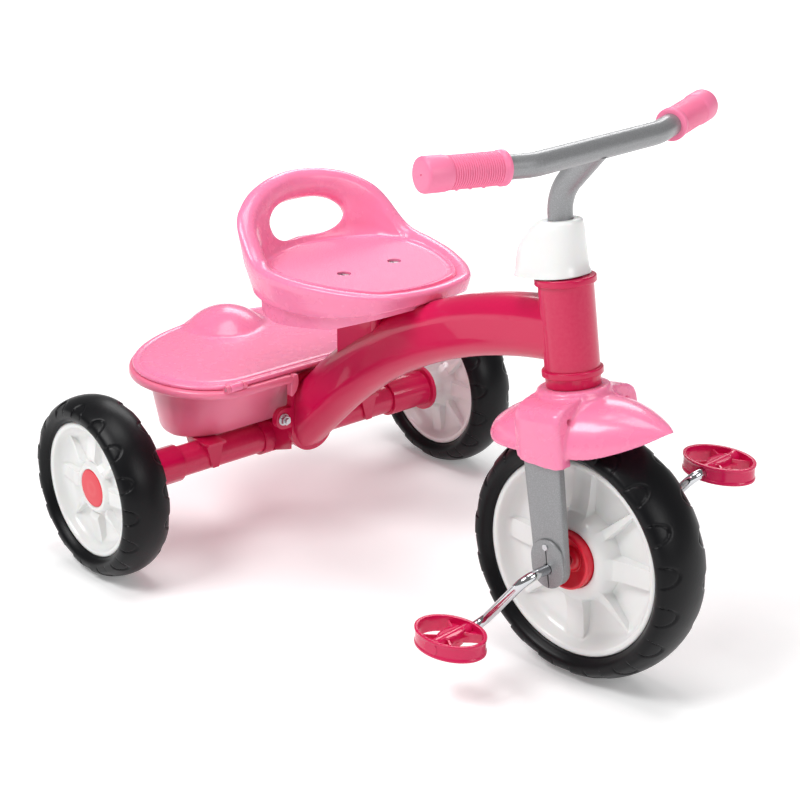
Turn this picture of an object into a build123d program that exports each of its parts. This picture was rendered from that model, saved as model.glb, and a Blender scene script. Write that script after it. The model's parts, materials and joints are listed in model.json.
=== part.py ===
from build123d import *
import os
from math import cos, radians, sin

# Children's tricycle. Millimetres, +X forward, +Y to the rider's left, +Z up.
# The pieces are drawn with the rear axle at x = 0 and the ground at z = 0, and the
# whole is moved forward or back at the end, so that the origin lies on the ground
# under the middle of the overall box.

# --- overall -----------------------------------------------------------------
wheelbase = 487.5
track = 489.0
caster_angle = 8.9
steer_at_rest = 5.8
crank_phase = 51.0

# --- clearances --------------------------------------------------------------
running_fit = 0.05
slip_fit = 0.1
body_gap = 0.5

# --- front wheel -------------------------------------------------------------
front_radius = 127.0
front_tyre_half = 34.0
front_seat_radius = 100.4
front_rim_half = 25.0
front_hub_radius = 20.0
front_hub_half = 30.0
front_ribs = 8

# --- rear wheels -------------------------------------------------------------
rear_radius = 100.0
rear_tyre_half = 28.0
rear_seat_radius = 74.7
rear_rim_half = 20.0
rear_hub_radius = 19.0
rear_ribs = 8

# --- shared wheel values -----------------------------------------------------
rim_depth = 7.0
web_half = 2.5
rib_half = 2.0
rib_step = 5.0

# --- hub cups and caps -------------------------------------------------------
hub_cup_radius = 29.0
hub_cup_start = 20.0
hub_cup_end = 36.0
hub_cap_radius = 21.0
hub_cap_ring_radius = 27.0
hub_cap_wall = 2.5
hub_cap_seat = 5.0
hub_cap_height = 9.0

# --- crank and pedals --------------------------------------------------------
crank_radius = 84.0
crank_rod_radius = 5.0
crank_side_gap = 35.0
crank_bend = 14.5
pedal_offset = 44.0
pedal_length = 78.0
pedal_width = 58.0
pedal_height = 17.0
pedal_wall = 4.0
pedal_barrel_radius = 9.5
pedal_web = 3.0
push_nut_radius = 7.0
push_nut_thickness = 1.5

# --- fork --------------------------------------------------------------------
leg_width = 38.0
leg_top_width = 45.0
leg_thickness = 10.0
leg_tyre_gap = 13.0
crown_gap = 16.0
crown_thickness = 8.0
steerer_radius = 15.0
tube_wall = 2.5
steerer_above = 32.0
cover_width = 39.0
cover_thickness = 3.0
cover_length = 49.0
rivet_level = 22.0
cover_slit = 1.5
crank_bush_wall = 3.0

# --- head --------------------------------------------------------------------
head_radius = 26.5
head_clearance = 33.0
head_length = 81.0
cup_radius = 29.5
cup_height = 7.0
cup_spigot = 12.0
lower_cup_neck = 10.0
cap_gap = 1.5

# --- stem, cap and handlebar -------------------------------------------------
stem_fit = 0.5
stem_insert = 34.0
stem_straight = 46.0
stem_bend = 45.0
bar_forward = 50.4
bar_lift = 49.2
bar_radius = 11.0
bar_bend_at = 90.0
bar_bend = 60.0
bar_sweep = 14.3
bar_rise = 2.6
bar_wall = 2.0
grip_start = 119.0
grip_length = 85.0
grip_radius = 16.0
grip_end_wall = 4.0
cap_height = 52.0
cap_base_length = 74.0
cap_base_width = 60.0
cap_top_length = 41.0
cap_top_width = 42.0
cap_wall = 3.0
cap_rear_shift = 15.0
stem_bolt_radius = 3.0
stem_bolt_depth = 14.0

# --- fender ------------------------------------------------------------------
fender_wall = 3.0
fender_boss_radius = 36.0
fender_cover_gap = 6.0
fender_cover_half = 26.0
fender_cover_drop = 39.0
# Stations along the wheel: distance from the axle, ridge height over the top of the
# tyre, half width, and how far the edge lies below the ridge.
fender_stations = [
    (-114.0, -21.0, 16.0, 6.0),
    (-96.0, -1.0, 34.0, 24.0),
    (-62.0, 19.0, 50.0, 38.0),
    (-10.0, 33.0, 57.0, 46.0),
    (34.0, 35.0, 52.0, 44.0),
    (66.0, 30.0, 30.0, 24.0),
    (88.0, 22.0, 6.0, 3.0),
]

# --- backbone and rear axle --------------------------------------------------
backbone_height = 62.0
backbone_width = 50.0
backbone_corner = 22.0
backbone_wall = 2.0
backbone_low_angle = 43.5
backbone_end_x = 54.0
backbone_end_rise = 39.5
backbone_straight = 50.0
backbone_joint_rise = 35.0
flange_thickness = 4.0
flange_lip = 4.0
ear_reach = 10.0
ear_height = 24.0
frame_bolt_gap = 15.0
frame_bolt_radius = 3.0
axle_tube_radius = 17.5
hub_overlap = 39.5
axle_tube_wall = 2.5
axle_rod_radius = 5.0
sleeve_length = 55.0
sleeve_wall = 3.5
sleeve_flange_lip = 6.0
sleeve_flange = 5.0
bracket_half = 40.0
bracket_wall = 2.5
axle_rod_end = 4.0
washer_radius = 10.0
washer_thickness = 2.0

# --- storage bin and lid -----------------------------------------------------
bin_height = 64.0
bin_wall = 3.0
bin_rim_height = 9.0
bin_front = 66.0
bin_rear = -152.0
bin_half = 169.0
bin_waist = -30.0
bin_flat_half = 95.0
bin_rim_overhang = 10.0
bin_side_overhang = 20.0
bin_rear_overhang = 16.0
bin_side_draft = 12.0
bin_front_draft = 48.0
bin_rear_draft = 17.0
notch_gap = 9.0
notch_depth = 22.0
lid_thickness = 4.5
lid_inset = 4.5
lid_front_gap = 1.0
hinge_ear = 5.0
lid_dome_radius = 60.0
lid_dome_rise = 22.5
lid_dome_x = -110.0
hinge_half_length = 8.0
hinge_out = 108.0
hinge_radius = 4.5
hinge_pin_radius = 2.0
hinge_rise = 2.5
hinge_x = 60.0
support_out = 110.0
support_half = 12.0
support_wall = 3.0
support_drop = 10.0
bin_screw_radius = 2.5
bin_screw_x = -10.0

# --- seat --------------------------------------------------------------------
seat_above_wheel = 81.0
seat_pan = 4.0
seat_half = 110.0
seat_rear = 27.0
seat_front = 266.0
seat_rim_up = 5.0
seat_rim_down = 33.0
seat_rim_width = 18.0
seat_skirt_inset = 14.0
seat_skirt_depth = 53.0
seat_skirt_wall = 3.5
seat_rim_taper = 9.0
seat_rise_start = 185.0
seat_rise = 20.0
seat_back_rise = 79.0
handle_half = 60.0
handle_low_rise = 7.0
handle_high_rise = 53.0
seat_screw_x = 157.0
seat_screw_out = 34.0
seat_screw_radius = 3.0
seat_boss_radius = 11.0
seat_boss_depth = 13.0
seat_post_length = 70.0
seat_post_width = 42.0
seat_plate_thickness = 10.0

# --- derived -----------------------------------------------------------------
steering_plane = Plane(
    origin=(wheelbase, 0, front_radius),
    x_dir=(cos(radians(caster_angle)), 0, sin(radians(caster_angle))),
    z_dir=(-sin(radians(caster_angle)), 0, cos(radians(caster_angle))),
)
steering_axis = Axis(steering_plane.origin, steering_plane.z_dir)
leg_inner = front_tyre_half + leg_tyre_gap
leg_outer = leg_inner + leg_thickness
cover_outer = leg_outer + cover_thickness
crank_axle_half = leg_outer + crank_side_gap
pedal_centre = crank_axle_half + pedal_offset
crank_bush_radius = crank_rod_radius + crank_bush_wall
fender_cover_out = leg_outer + fender_cover_gap
crown_level = front_radius + crown_gap
fender_cover_low = crown_level - fender_cover_drop
crown_top = crown_level + crown_thickness
head_low = crown_top + head_clearance
head_high = head_low + head_length
cup_low = head_low - cup_height
cup_high = head_high + cup_height
cap_low = cup_high + cap_gap
neck_low = cup_low - lower_cup_neck
steerer_top = cup_high + steerer_above
stem_radius = steerer_radius - tube_wall - stem_fit
stem_low = steerer_top - stem_insert
stem_bolt_level = steerer_top - stem_bolt_depth
stem_corner = steerer_top + stem_straight
bar_height = front_radius + stem_corner * cos(radians(caster_angle)) + bar_lift
axle_tube_half = track / 2 - hub_overlap
sleeve_start = axle_tube_half - sleeve_length
sleeve_radius = axle_tube_radius + sleeve_wall
sleeve_flange_radius = sleeve_radius + sleeve_flange_lip
rear_hub_inner = axle_tube_half + sleeve_flange + washer_thickness + body_gap
rear_hub_outer = track / 2 + hub_cap_seat
axle_rod_half = rear_hub_outer + axle_rod_end
bin_bottom = rear_radius + axle_tube_radius + support_wall
bin_top = bin_bottom + bin_height
bin_lip = bin_top + bin_rim_height
lid_low = bin_lip + body_gap
lid_high = lid_low + lid_thickness
hinge_z = lid_high - hinge_radius + hinge_rise
backbone_end_z = rear_radius + backbone_end_rise
backbone_joint_level = head_low + backbone_joint_rise
frame_bolt_out = backbone_width / 2 + frame_bolt_gap
ear_half = frame_bolt_out + ear_reach
notch_half = backbone_width / 2 + notch_gap
support_foot = rear_radius - support_drop
seat_level = 2 * front_radius + seat_above_wheel
seat_skirt_low = seat_level - seat_skirt_depth
seat_back_top = seat_level + seat_back_rise
handle_low = seat_level + handle_low_rise
handle_high = seat_level + handle_high_rise
seat_boss_low = seat_level - seat_boss_depth
flange_face = backbone_end_x - flange_thickness
bracket_face = flange_face - flange_thickness
arm = Vector(cos(radians(crank_phase)), 0, sin(radians(crank_phase))) * crank_radius


def rod(radius, length, axis="Y", centre=(0, 0, 0)):
    """A round bar of a given length, centred on a point, along X, Y or Z."""
    turn = {"X": (0, 90, 0), "Y": (90, 0, 0), "Z": (0, 0, 0)}[axis]
    return Pos(*centre) * Rot(*turn) * Cylinder(radius, length)


def span(radius, start, end, axis="Y", at=(0, 0)):
    """A round bar from one place to another along an axis."""
    middle = (start + end) / 2
    centre = {"X": (middle, *at), "Y": (at[0], middle, at[1]), "Z": (*at, middle)}[axis]
    return rod(radius, abs(end - start), axis, centre)


def block(x_range, y_range, z_range):
    """A box between two limits on each axis."""
    size = [high - low for low, high in (x_range, y_range, z_range)]
    middle = [(high + low) / 2 for low, high in (x_range, y_range, z_range)]
    return Pos(*middle) * Box(*size)


def on_steering(shape):
    """Moves a shape drawn about the Z axis onto the steering axis."""
    return steering_plane.location * shape


def mirrored(shape):
    """The shape on the other side of the tricycle."""
    return mirror(shape, about=Plane.XZ)


def hexagon(radius, thickness, axis="X", centre=(0, 0, 0)):
    """A hexagonal nut or head, centred on a point."""
    turn = {"X": (0, 90, 0), "Y": (90, 0, 0), "Z": (0, 0, 0)}[axis]
    prism = extrude(RegularPolygon(radius, 6), thickness / 2, both=True)
    return Pos(*centre) * Rot(*turn) * prism


# --- wheels ------------------------------------------------------------------
def tyre(radius, seat_radius, half, rim_half):
    """A moulded tyre about the Y axis."""
    height = radius - seat_radius
    bead = seat_radius + 0.04 * height
    side = [(bead, rim_half + 1.0), (seat_radius + 0.42 * height, half)]
    side.append((radius - 0.16 * height, 0.68 * half))
    upper = [(radius, 0.0)] + side[::-1]
    points = [(r, -y) for r, y in side] + upper
    crown = Spline(*points)
    edges = [crown, Line((bead, rim_half + 1.0), (seat_radius, rim_half))]
    edges.append(Line((seat_radius, rim_half), (seat_radius, -rim_half)))
    edges.append(Line((seat_radius, -rim_half), (bead, -rim_half - 1.0)))
    return revolve(make_face(edges), Axis.Y)


def rim(seat_radius, rim_half, hub_radius, hub_from, hub_to, ribs):
    """A wheel disc with a rim, a web, a hub barrel and ribs, about the Y axis."""
    inner = seat_radius - rim_depth
    body = rod(seat_radius, 2 * rim_half) - rod(inner, 2 * rim_half + 1)
    body += rod(inner + 1, 2 * web_half)
    body += span(hub_radius, hub_from, hub_to)
    reach = inner + 1
    for index in range(ribs):
        rib = block((hub_radius - 1, reach), (-rim_half + rib_step, rim_half - rib_step), (-rib_half, rib_half))
        body += Rot(0, 360 * index / ribs, 0) * rib
    return body


def front_rim():
    """The front wheel disc, with sockets for the hub cups and a bore for the crank."""
    body = rim(front_seat_radius, front_rim_half, front_hub_radius, -front_hub_half, front_hub_half, front_ribs)
    body -= span(hub_cup_radius, hub_cup_start, front_hub_half + 1)
    body -= span(hub_cup_radius, -hub_cup_start, -front_hub_half - 1)
    return body - rod(crank_rod_radius, 2 * front_hub_half + 2)


def hub_cup():
    """A left-hand hub cup: a cylinder with a conical mouth round the crank."""
    cup = span(hub_cup_radius, hub_cup_start, hub_cup_end)
    depth = hub_cup_end - hub_cup_start - 9
    cone = Cone(crank_rod_radius + 6, hub_cup_radius - 3, depth)
    cup -= Pos(0, hub_cup_end - depth / 2, 0) * Rot(-90, 0, 0) * cone
    return cup - span(crank_rod_radius, hub_cup_start - 1, hub_cup_end + 1)


def rear_rim():
    """The left rear wheel disc about the Y axis, with its bore for the bush."""
    inner_end = rear_hub_inner - track / 2
    outer_end = rear_hub_outer - track / 2
    body = rim(rear_seat_radius, rear_rim_half, rear_hub_radius, inner_end, outer_end, rear_ribs)
    body += span(hub_cap_ring_radius, web_half, outer_end)
    body -= span(hub_cap_radius, outer_end, rear_rim_half)
    return body - span(axle_rod_radius + 4, inner_end - 1, outer_end + 1)


def rear_bush():
    """The nylon bush in a left rear hub."""
    inner_end = rear_hub_inner - track / 2
    outer_end = rear_hub_outer - track / 2
    bush = span(axle_rod_radius + 4, inner_end, outer_end)
    return bush - span(axle_rod_radius + running_fit, inner_end - 1, outer_end + 1)


def rear_hub_cap():
    """The left rear hub cap, a shallow cup over the end of the axle rod."""
    low = rear_hub_outer - track / 2
    high = low + hub_cap_height
    cap = span(hub_cap_radius, low, high)
    cap = fillet(cap.edges().sort_by(Axis.Y)[-1:], 2.0)
    return cap - span(hub_cap_radius - hub_cap_wall, low - 1, high - hub_cap_wall)


# --- crank and pedals --------------------------------------------------------
def crank():
    """One bent rod: right spindle, right arm, wheel axle, left arm, left spindle."""
    reach = pedal_centre + pedal_width / 2 - pedal_wall - 6
    route = [
        Vector(0, -reach, 0) - arm,
        Vector(0, -crank_axle_half, 0) - arm,
        Vector(0, -crank_axle_half, 0),
        Vector(0, crank_axle_half, 0),
        Vector(0, crank_axle_half, 0) + arm,
        Vector(0, reach, 0) + arm,
    ]
    path = FilletPolyline(*route, radius=crank_bend)
    section = Plane(origin=path @ 0, z_dir=path % 0) * Circle(crank_rod_radius)
    return sweep(section, path)


def pedal():
    """A left pedal about its own centre: an oval ring, a web and a barrel."""
    ring = extrude(Ellipse(pedal_length / 2, pedal_width / 2), pedal_height / 2, both=True)
    hollow = Ellipse(pedal_length / 2 - pedal_wall, pedal_width / 2 - pedal_wall)
    inside = extrude(hollow, pedal_height / 2 + 1, both=True)
    body = ring - inside
    web = extrude(Ellipse(pedal_length / 2 - 1, pedal_width / 2 - 1), pedal_web / 2, both=True)
    openings = []
    for side in (-1, 1):
        hole = Pos(side * (pedal_length / 2 - pedal_wall - 9.5), 0) * Ellipse(8.5, pedal_width / 2 - 11)
        openings.append(hole)
    for hole in openings:
        web -= extrude(hole, pedal_web, both=True)
    body += web
    boss = extrude(Ellipse(pedal_barrel_radius + 1, pedal_width / 2 - 2), pedal_height / 2 - 2, both=True)
    body += boss
    outer_face = pedal_width / 2 + 1
    body -= span(crank_rod_radius + running_fit, -outer_face, outer_face)
    pocket_from = pedal_width / 2 - pedal_wall - 9
    return body - span(push_nut_radius + body_gap, pocket_from, outer_face)


def pedal_push_nut():
    """The left push nut that keeps a pedal on its spindle."""
    start = pedal_width / 2 - pedal_wall - 9 + body_gap
    nut = span(push_nut_radius, start, start + push_nut_thickness)
    return nut - span(crank_rod_radius, start - 1, start + 3)


def pedal_plug():
    """The left plug that closes a pedal barrel."""
    face = pedal_width / 2 - 0.6
    return span(push_nut_radius + body_gap, face - pedal_wall, face)


# --- fork and head -----------------------------------------------------------
def fork_leg():
    """The left fork leg in the steering frame, a flat closed tube with a round end."""
    leg = leg_prism(0, leg_inner, leg_outer, 0, crown_level)
    leg += span(leg_width / 2, leg_inner, leg_outer)
    near, far = leg_inner + tube_wall, leg_outer - tube_wall
    hollow = leg_prism(tube_wall, near, far, crank_bush_radius + 8, crown_level - 2)
    return leg - hollow - span(crank_bush_radius, leg_inner - 1, leg_outer + 1)


def leg_prism(inset, inner, outer, low, high):
    """The tapering flat of a leg, or the space inside it when inset by the wall."""
    wide = leg_top_width / 2 - inset
    narrow = leg_width / 2 - inset
    outline = Polyline((-narrow, low), (narrow, low), (wide, high), (-wide, high), close=True)
    flat = Plane(origin=(0, outer, 0), x_dir=(1, 0, 0), z_dir=(0, -1, 0)) * make_face(outline)
    return extrude(flat, outer - inner)


def fork_crown():
    """The flat crown plate over the wheel."""
    plate = block((-leg_top_width / 2, leg_top_width / 2), (-leg_outer, leg_outer), (crown_level, crown_top))
    plate = fillet(plate.edges().filter_by(Axis.X).sort_by(Axis.Z)[-2:], 7.0)
    return plate - span(steerer_radius, crown_level - 1, crown_top + 1, "Z")


def steerer_tube():
    """The tube from the crown up through the head."""
    tube = span(steerer_radius, crown_level, steerer_top, "Z")
    tube -= span(steerer_radius - tube_wall, crown_level - 1, steerer_top + 1, "Z")
    return tube - stem_bolt_hole()


def stem_bolt_hole():
    """The cross hole for the stem bolt."""
    return rod(stem_bolt_radius, 80, "Y", (0, 0, stem_bolt_level))


def dropout_cover():
    """The left cover plate over the fork end, with a round boss hole for the crank."""
    half = cover_width / 2
    plate = span(half, leg_outer, cover_outer)
    top = cover_length - cover_width
    plate += block((-half, half), (leg_outer, cover_outer), (0, top))
    plate += span(half, leg_outer, cover_outer, "Y", (0, top))
    plate -= span(crank_rod_radius + body_gap, leg_outer - 1, cover_outer + 1)
    plate -= block((-cover_slit / 2, cover_slit / 2), (leg_outer - 1, cover_outer + 1), (-half - 1, rivet_level))
    return plate - span(1.5, leg_outer - 1, cover_outer + 1, "Y", (0, rivet_level))


def dropout_rivet():
    """The left rivet through the cover and the outer wall of the leg."""
    head = span(3.0, cover_outer, cover_outer + 1.2, "Y", (0, rivet_level))
    return head + span(1.5, leg_outer, cover_outer, "Y", (0, rivet_level))


def crank_bush():
    """The left nylon bush between the fork end and the crank."""
    bush = span(crank_bush_radius, leg_inner, leg_outer)
    bush += span(crank_bush_radius + 3, leg_inner - 1.5, leg_inner)
    return bush - span(crank_rod_radius + running_fit, leg_inner - 3, leg_outer + 1)


def head_tube():
    """The head tube, whose ends hold the bearing cups."""
    tube = span(head_radius, head_low, head_high, "Z")
    return tube - span(head_radius - tube_wall, head_low - 1, head_high + 1, "Z")


def bearing_cup(face, end, spigot_end):
    """A flanged cup in one end of the head tube, bored for the steerer."""
    cup = span(cup_radius, face, end, "Z")
    cup = fillet(cup.edges(), 1.5)
    cup += span(head_radius - tube_wall, face, spigot_end, "Z")
    low, high = min(face, end, spigot_end) - 1, max(face, end, spigot_end) + 1
    return cup - span(steerer_radius + running_fit, low, high, "Z")


def lower_cup():
    """The lower bearing cup, with a neck down to the fender boss."""
    neck = span(head_radius, neck_low, cup_low, "Z")
    neck -= span(steerer_radius + running_fit, neck_low - 1, cup_low + 1, "Z")
    return bearing_cup(cup_low, head_low, head_low + cup_spigot) + neck


def fender():
    """The front fender: an arched visor, a boss and a cover over each leg."""
    sections_out = []
    sections_in = []
    for along, ridge, half, drop in fender_stations:
        plane = Plane(origin=(along, 0, front_radius + ridge), x_dir=(0, 1, 0), z_dir=(1, 0, 0))
        sections_out.append(plane * arch(half, drop))
        inner_half = max(half - fender_wall, 2.0)
        lowered = Plane(origin=(along, 0, front_radius + ridge - fender_wall), x_dir=(0, 1, 0), z_dir=(1, 0, 0))
        sections_in.append(lowered * arch(inner_half, drop))
    visor = loft(sections_out, ruled=True) - loft(sections_in, ruled=True)
    visor = Pos(wheelbase, 0, front_radius) * visor
    top = crown_top + fender_wall
    out = fender_cover_out
    right = [(out, fender_cover_low), (out, top - 12), (out - 3, top - 4), (out - 10, top)]
    shoulder = right + [(-y, z) for y, z in right[::-1]]
    front = Plane(origin=(-fender_cover_half, 0, 0), x_dir=(0, 1, 0), z_dir=(1, 0, 0))
    covers = extrude(front * make_face(Polyline(*shoulder, close=True)), 2 * fender_cover_half)
    covers = fillet(covers.edges().filter_by(Axis.X).sort_by(Axis.Z)[2:], 2.5)
    covers -= block((-60, 60), (-leg_inner + 2, leg_inner - 2), (0, crown_level - 1))
    boss = span(fender_boss_radius, crown_level - 1, neck_low - body_gap, "Z")
    covers += fillet(boss.edges().sort_by(Axis.Z)[-1:], 3.0)
    body = visor + on_steering(covers)
    gap = slip_fit
    half = leg_top_width / 2 + gap
    legs = block((-half, half), (-leg_outer - gap, leg_outer + gap), (0, crown_top))
    body -= on_steering(legs)
    return body - on_steering(span(steerer_radius + slip_fit, 0, cup_high, "Z"))


def arch(half, drop):
    """A closed arch section: a crown arc over a flat chord, its top at the origin."""
    crown = ThreePointArc((-half, -drop), (0, 0), (half, -drop))
    return make_face([crown, Line((half, -drop), (-half, -drop))])


# --- stem, cap and handlebar -------------------------------------------------
bar_centre_x = steering_plane.from_local_coords(
    (0, 0, (bar_height - front_radius) / cos(radians(caster_angle)))
).X + bar_forward


def stem_tube():
    """The gooseneck from the steerer up and forward to the handlebar."""
    start = steering_plane.from_local_coords((0, 0, stem_low))
    corner = steering_plane.from_local_coords((0, 0, stem_corner))
    end = Vector(bar_centre_x, 0, bar_height)
    path = FilletPolyline(start, corner, end, radius=stem_bend)
    plane = Plane(origin=path @ 0, z_dir=path % 0)
    tube = sweep(plane * Circle(stem_radius), path) - sweep(plane * Circle(stem_radius - tube_wall), path)
    tube -= rod(bar_radius, 60, "Y", (bar_centre_x, 0, bar_height))
    return tube - on_steering(stem_bolt_hole())


def bar_direction():
    """The direction of the left, swept end of the handlebar."""
    level = cos(radians(bar_rise))
    back = -sin(radians(bar_sweep)) * level
    return Vector(back, cos(radians(bar_sweep)) * level, sin(radians(bar_rise)))


def mirrored_y(vector):
    """The same direction on the right-hand side."""
    return Vector(vector.X, -vector.Y, vector.Z)


def bar_path():
    """The centre line of the handlebar, straight in the middle and swept back."""
    reach = grip_start + (grip_length - grip_end_wall) * cos(radians(bar_sweep)) - 1
    swept = (reach - bar_bend_at) / cos(radians(bar_sweep))
    tip = Vector(bar_centre_x, -bar_bend_at, bar_height) + mirrored_y(bar_direction()) * swept
    route = [tuple(tip), (bar_centre_x, -bar_bend_at, bar_height)]
    route += [(x, -y, z) for x, y, z in route[::-1]]
    return FilletPolyline(*route, radius=bar_bend)


def handlebar_tube():
    """The bent handlebar tube."""
    path = bar_path()
    plane = Plane(origin=path @ 0, z_dir=path % 0)
    return sweep(plane * Circle(bar_radius), path) - sweep(plane * Circle(bar_radius - bar_wall), path)


def grip():
    """The left grip: a closed sleeve with an inner collar and a flared end."""
    body = span(grip_radius - 1.5, 0, grip_length, "Z")
    body += span(grip_radius, 0, 5.0, "Z")
    body += span(grip_radius, grip_length - 24.0, grip_length, "Z")
    body = fillet(body.edges().sort_by(Axis.Z)[-1:], 2.0)
    body -= span(bar_radius, -1, grip_length - grip_end_wall, "Z")
    direction = bar_direction()
    along = (grip_start - bar_bend_at) / direction.Y
    frame = Plane(origin=Vector(bar_centre_x, bar_bend_at, bar_height) + direction * along, z_dir=direction)
    return frame.location * body


def stem_cap():
    """The bell-shaped cover over the joint of stem and steerer."""
    outer = cap_bell(0)
    inner = cap_bell(cap_wall)
    cap = outer - inner
    return cap - span(stem_radius + slip_fit, cap_low, cap_low + cap_height + 1, "Z")


def cap_bell(inset):
    """The bell, or the space inside it when inset by the wall."""
    low = cap_low - (0.5 if inset else 0)
    high = cap_low + cap_height - inset
    base = Pos(-cap_rear_shift, 0, low) * Ellipse(cap_base_length / 2 - inset, cap_base_width / 2 - inset)
    waist = Pos(-0.6 * cap_rear_shift, 0, low + 0.6 * cap_height)
    waist = waist * Ellipse(cap_base_length / 2 - 5 - inset, cap_base_width / 2 - 3 - inset)
    top = Pos(0, 0, high) * Ellipse(cap_top_length / 2 - inset, cap_top_width / 2 - inset)
    return loft([base, waist, top])


def stem_bolt():
    """The cross bolt that locks the stem in the steerer, with its nut."""
    reach = steerer_radius + 5
    bolt = span(stem_bolt_radius, -reach, reach, "Y", (0, stem_bolt_level))
    bolt += hexagon(5.5, 4, "Y", (0, -steerer_radius - 2, stem_bolt_level))
    return bolt


def stem_nut():
    """The nut on the stem bolt."""
    nut = hexagon(5.5, 4, "Y", (0, steerer_radius + 2, stem_bolt_level))
    return nut - span(stem_bolt_radius, steerer_radius - 1, steerer_radius + 5, "Y", (0, stem_bolt_level))


# --- backbone and rear axle --------------------------------------------------
def backbone_solid(inset):
    """The backbone's outer or inner solid along its curved path."""
    slope = Vector(cos(radians(backbone_low_angle)), 0, sin(radians(backbone_low_angle)))
    end = Vector(backbone_end_x, 0, backbone_end_z)
    head = steering_plane.from_local_coords((0, 0, backbone_joint_level))
    start = end - slope * backbone_height
    bend = end + slope * backbone_straight
    path = Wire([Line(start, bend).edge(), TangentArc(bend, head, tangent=slope).edge()])
    width = backbone_width - 2 * inset
    height = backbone_height - 2 * inset
    plane = Plane(origin=start, x_dir=(0, 1, 0), z_dir=slope)
    section = plane * RectangleRounded(width, height, backbone_corner - inset)
    return sweep(section, path)


def backbone_tube():
    """The curved oval main tube, cut to the flange and to the head tube."""
    tube = backbone_solid(0) - backbone_solid(backbone_wall)
    far = wheelbase
    tube -= block((-far, backbone_end_x), (-far, far), (-far, far))
    tube -= on_steering(span(head_radius, head_low, head_high, "Z"))
    tube -= on_steering(span(cup_radius + running_fit, cup_low, head_low, "Z"))
    tube -= on_steering(span(head_radius + running_fit, neck_low, cup_low, "Z"))
    return tube.solids().sort_by(SortBy.VOLUME)[-1]


def flange_outline():
    """The oval flange with an ear for a bolt on each side, seen along X."""
    tall = backbone_height / cos(radians(backbone_low_angle)) + 2 * flange_lip
    wide = backbone_width + 2 * flange_lip
    outline = RectangleRounded(wide, tall, wide / 2 - 1)
    return outline + RectangleRounded(2 * ear_half, ear_height, ear_height / 2 - 1)


def flange_plate(face):
    """A flange plate whose rear face lies at a given x."""
    plane = Plane(origin=(face, 0, backbone_end_z), x_dir=(0, 1, 0), z_dir=(1, 0, 0))
    plate = extrude(plane * flange_outline(), flange_thickness)
    for side in (-1, 1):
        hole_at = (side * frame_bolt_out, backbone_end_z)
        plate -= span(frame_bolt_radius, face - 1, face + flange_thickness + 1, "X", hole_at)
    return plate


def axle_bracket():
    """The rear flange, two gussets and the sleeve that is welded on the axle tube."""
    bracket = flange_plate(bracket_face)
    outer = axle_tube_radius + bracket_wall
    bracket += rod(outer, 2 * bracket_half, "Y", (0, 0, rear_radius))
    low = rear_radius - outer
    high = rear_radius + outer - 1
    reach = 0.98 * backbone_height / 2 / cos(radians(backbone_low_angle))
    outline = [(0, low + 1), (bracket_face + 1, backbone_end_z - reach), (bracket_face + 1, backbone_end_z + 18)]
    outline += [(20, high), (0, high)]
    gusset = extrude(Plane.XZ * make_face(Polyline(*outline, close=True)), bracket_wall / 2, both=True)
    for side in (-1, 1):
        bracket += Pos(0, side * (backbone_width / 2 + 1), 0) * gusset
    return bracket - rod(axle_tube_radius, 3 * bracket_half, "Y", (0, 0, rear_radius))


def frame_bolts():
    """The two bolts through the flanges, heads behind."""
    bolts = []
    for side in (-1, 1):
        at = (side * frame_bolt_out, backbone_end_z)
        shank = span(frame_bolt_radius, bracket_face, backbone_end_x + 9, "X", at)
        bolts.append(shank + hexagon(5.8, 4, "X", (bracket_face - 2, *at)))
    return Compound(children=bolts)


def frame_nuts():
    """The nut and washer on each frame bolt, in front of the flange."""
    nuts = []
    for side in (-1, 1):
        at = (side * frame_bolt_out, backbone_end_z)
        nut = span(7.0, backbone_end_x, backbone_end_x + 1.2, "X", at)
        nut += hexagon(5.8, 5, "X", (backbone_end_x + 3.7, *at))
        nuts.append(nut - span(frame_bolt_radius, backbone_end_x - 1, backbone_end_x + 8, "X", at))
    return Compound(children=nuts)


def rear_axle_tube():
    """The cross tube between the rear wheels."""
    tube = rod(axle_tube_radius, 2 * axle_tube_half, "Y", (0, 0, rear_radius))
    return tube - rod(axle_tube_radius - axle_tube_wall, 2 * axle_tube_half + 2, "Y", (0, 0, rear_radius))


def axle_sleeve():
    """The left sleeve over the end of the axle tube, which carries the rod."""
    at = (0, rear_radius)
    end = axle_tube_half + sleeve_flange
    sleeve = span(sleeve_radius, sleeve_start, end, "Y", at)
    sleeve += span(sleeve_flange_radius, end - sleeve_flange, end, "Y", at)
    sleeve -= span(axle_tube_radius, sleeve_start - 1, axle_tube_half, "Y", at)
    return sleeve - span(axle_rod_radius, axle_tube_half - 1, end + 1, "Y", at)


def rear_axle_rod():
    """The steel rod through the axle tube and both rear wheels."""
    return rod(axle_rod_radius, 2 * axle_rod_half, "Y", (0, 0, rear_radius))


def axle_washers():
    """A washer on the rod between each sleeve and its wheel."""
    start = axle_tube_half + sleeve_flange
    washer = span(washer_radius, start, start + washer_thickness, "Y", (0, rear_radius))
    washer -= span(axle_rod_radius, start - 1, start + 4, "Y", (0, rear_radius))
    return Compound(children=[washer, mirrored(washer)])


def axle_push_nuts():
    """The push nut on each end of the rod, inside the hub caps."""
    start = rear_hub_outer + body_gap
    nut = span(push_nut_radius, start, start + push_nut_thickness, "Y", (0, rear_radius))
    nut -= span(axle_rod_radius, start - 1, start + 3, "Y", (0, rear_radius))
    return Compound(children=[nut, mirrored(nut)])


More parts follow.
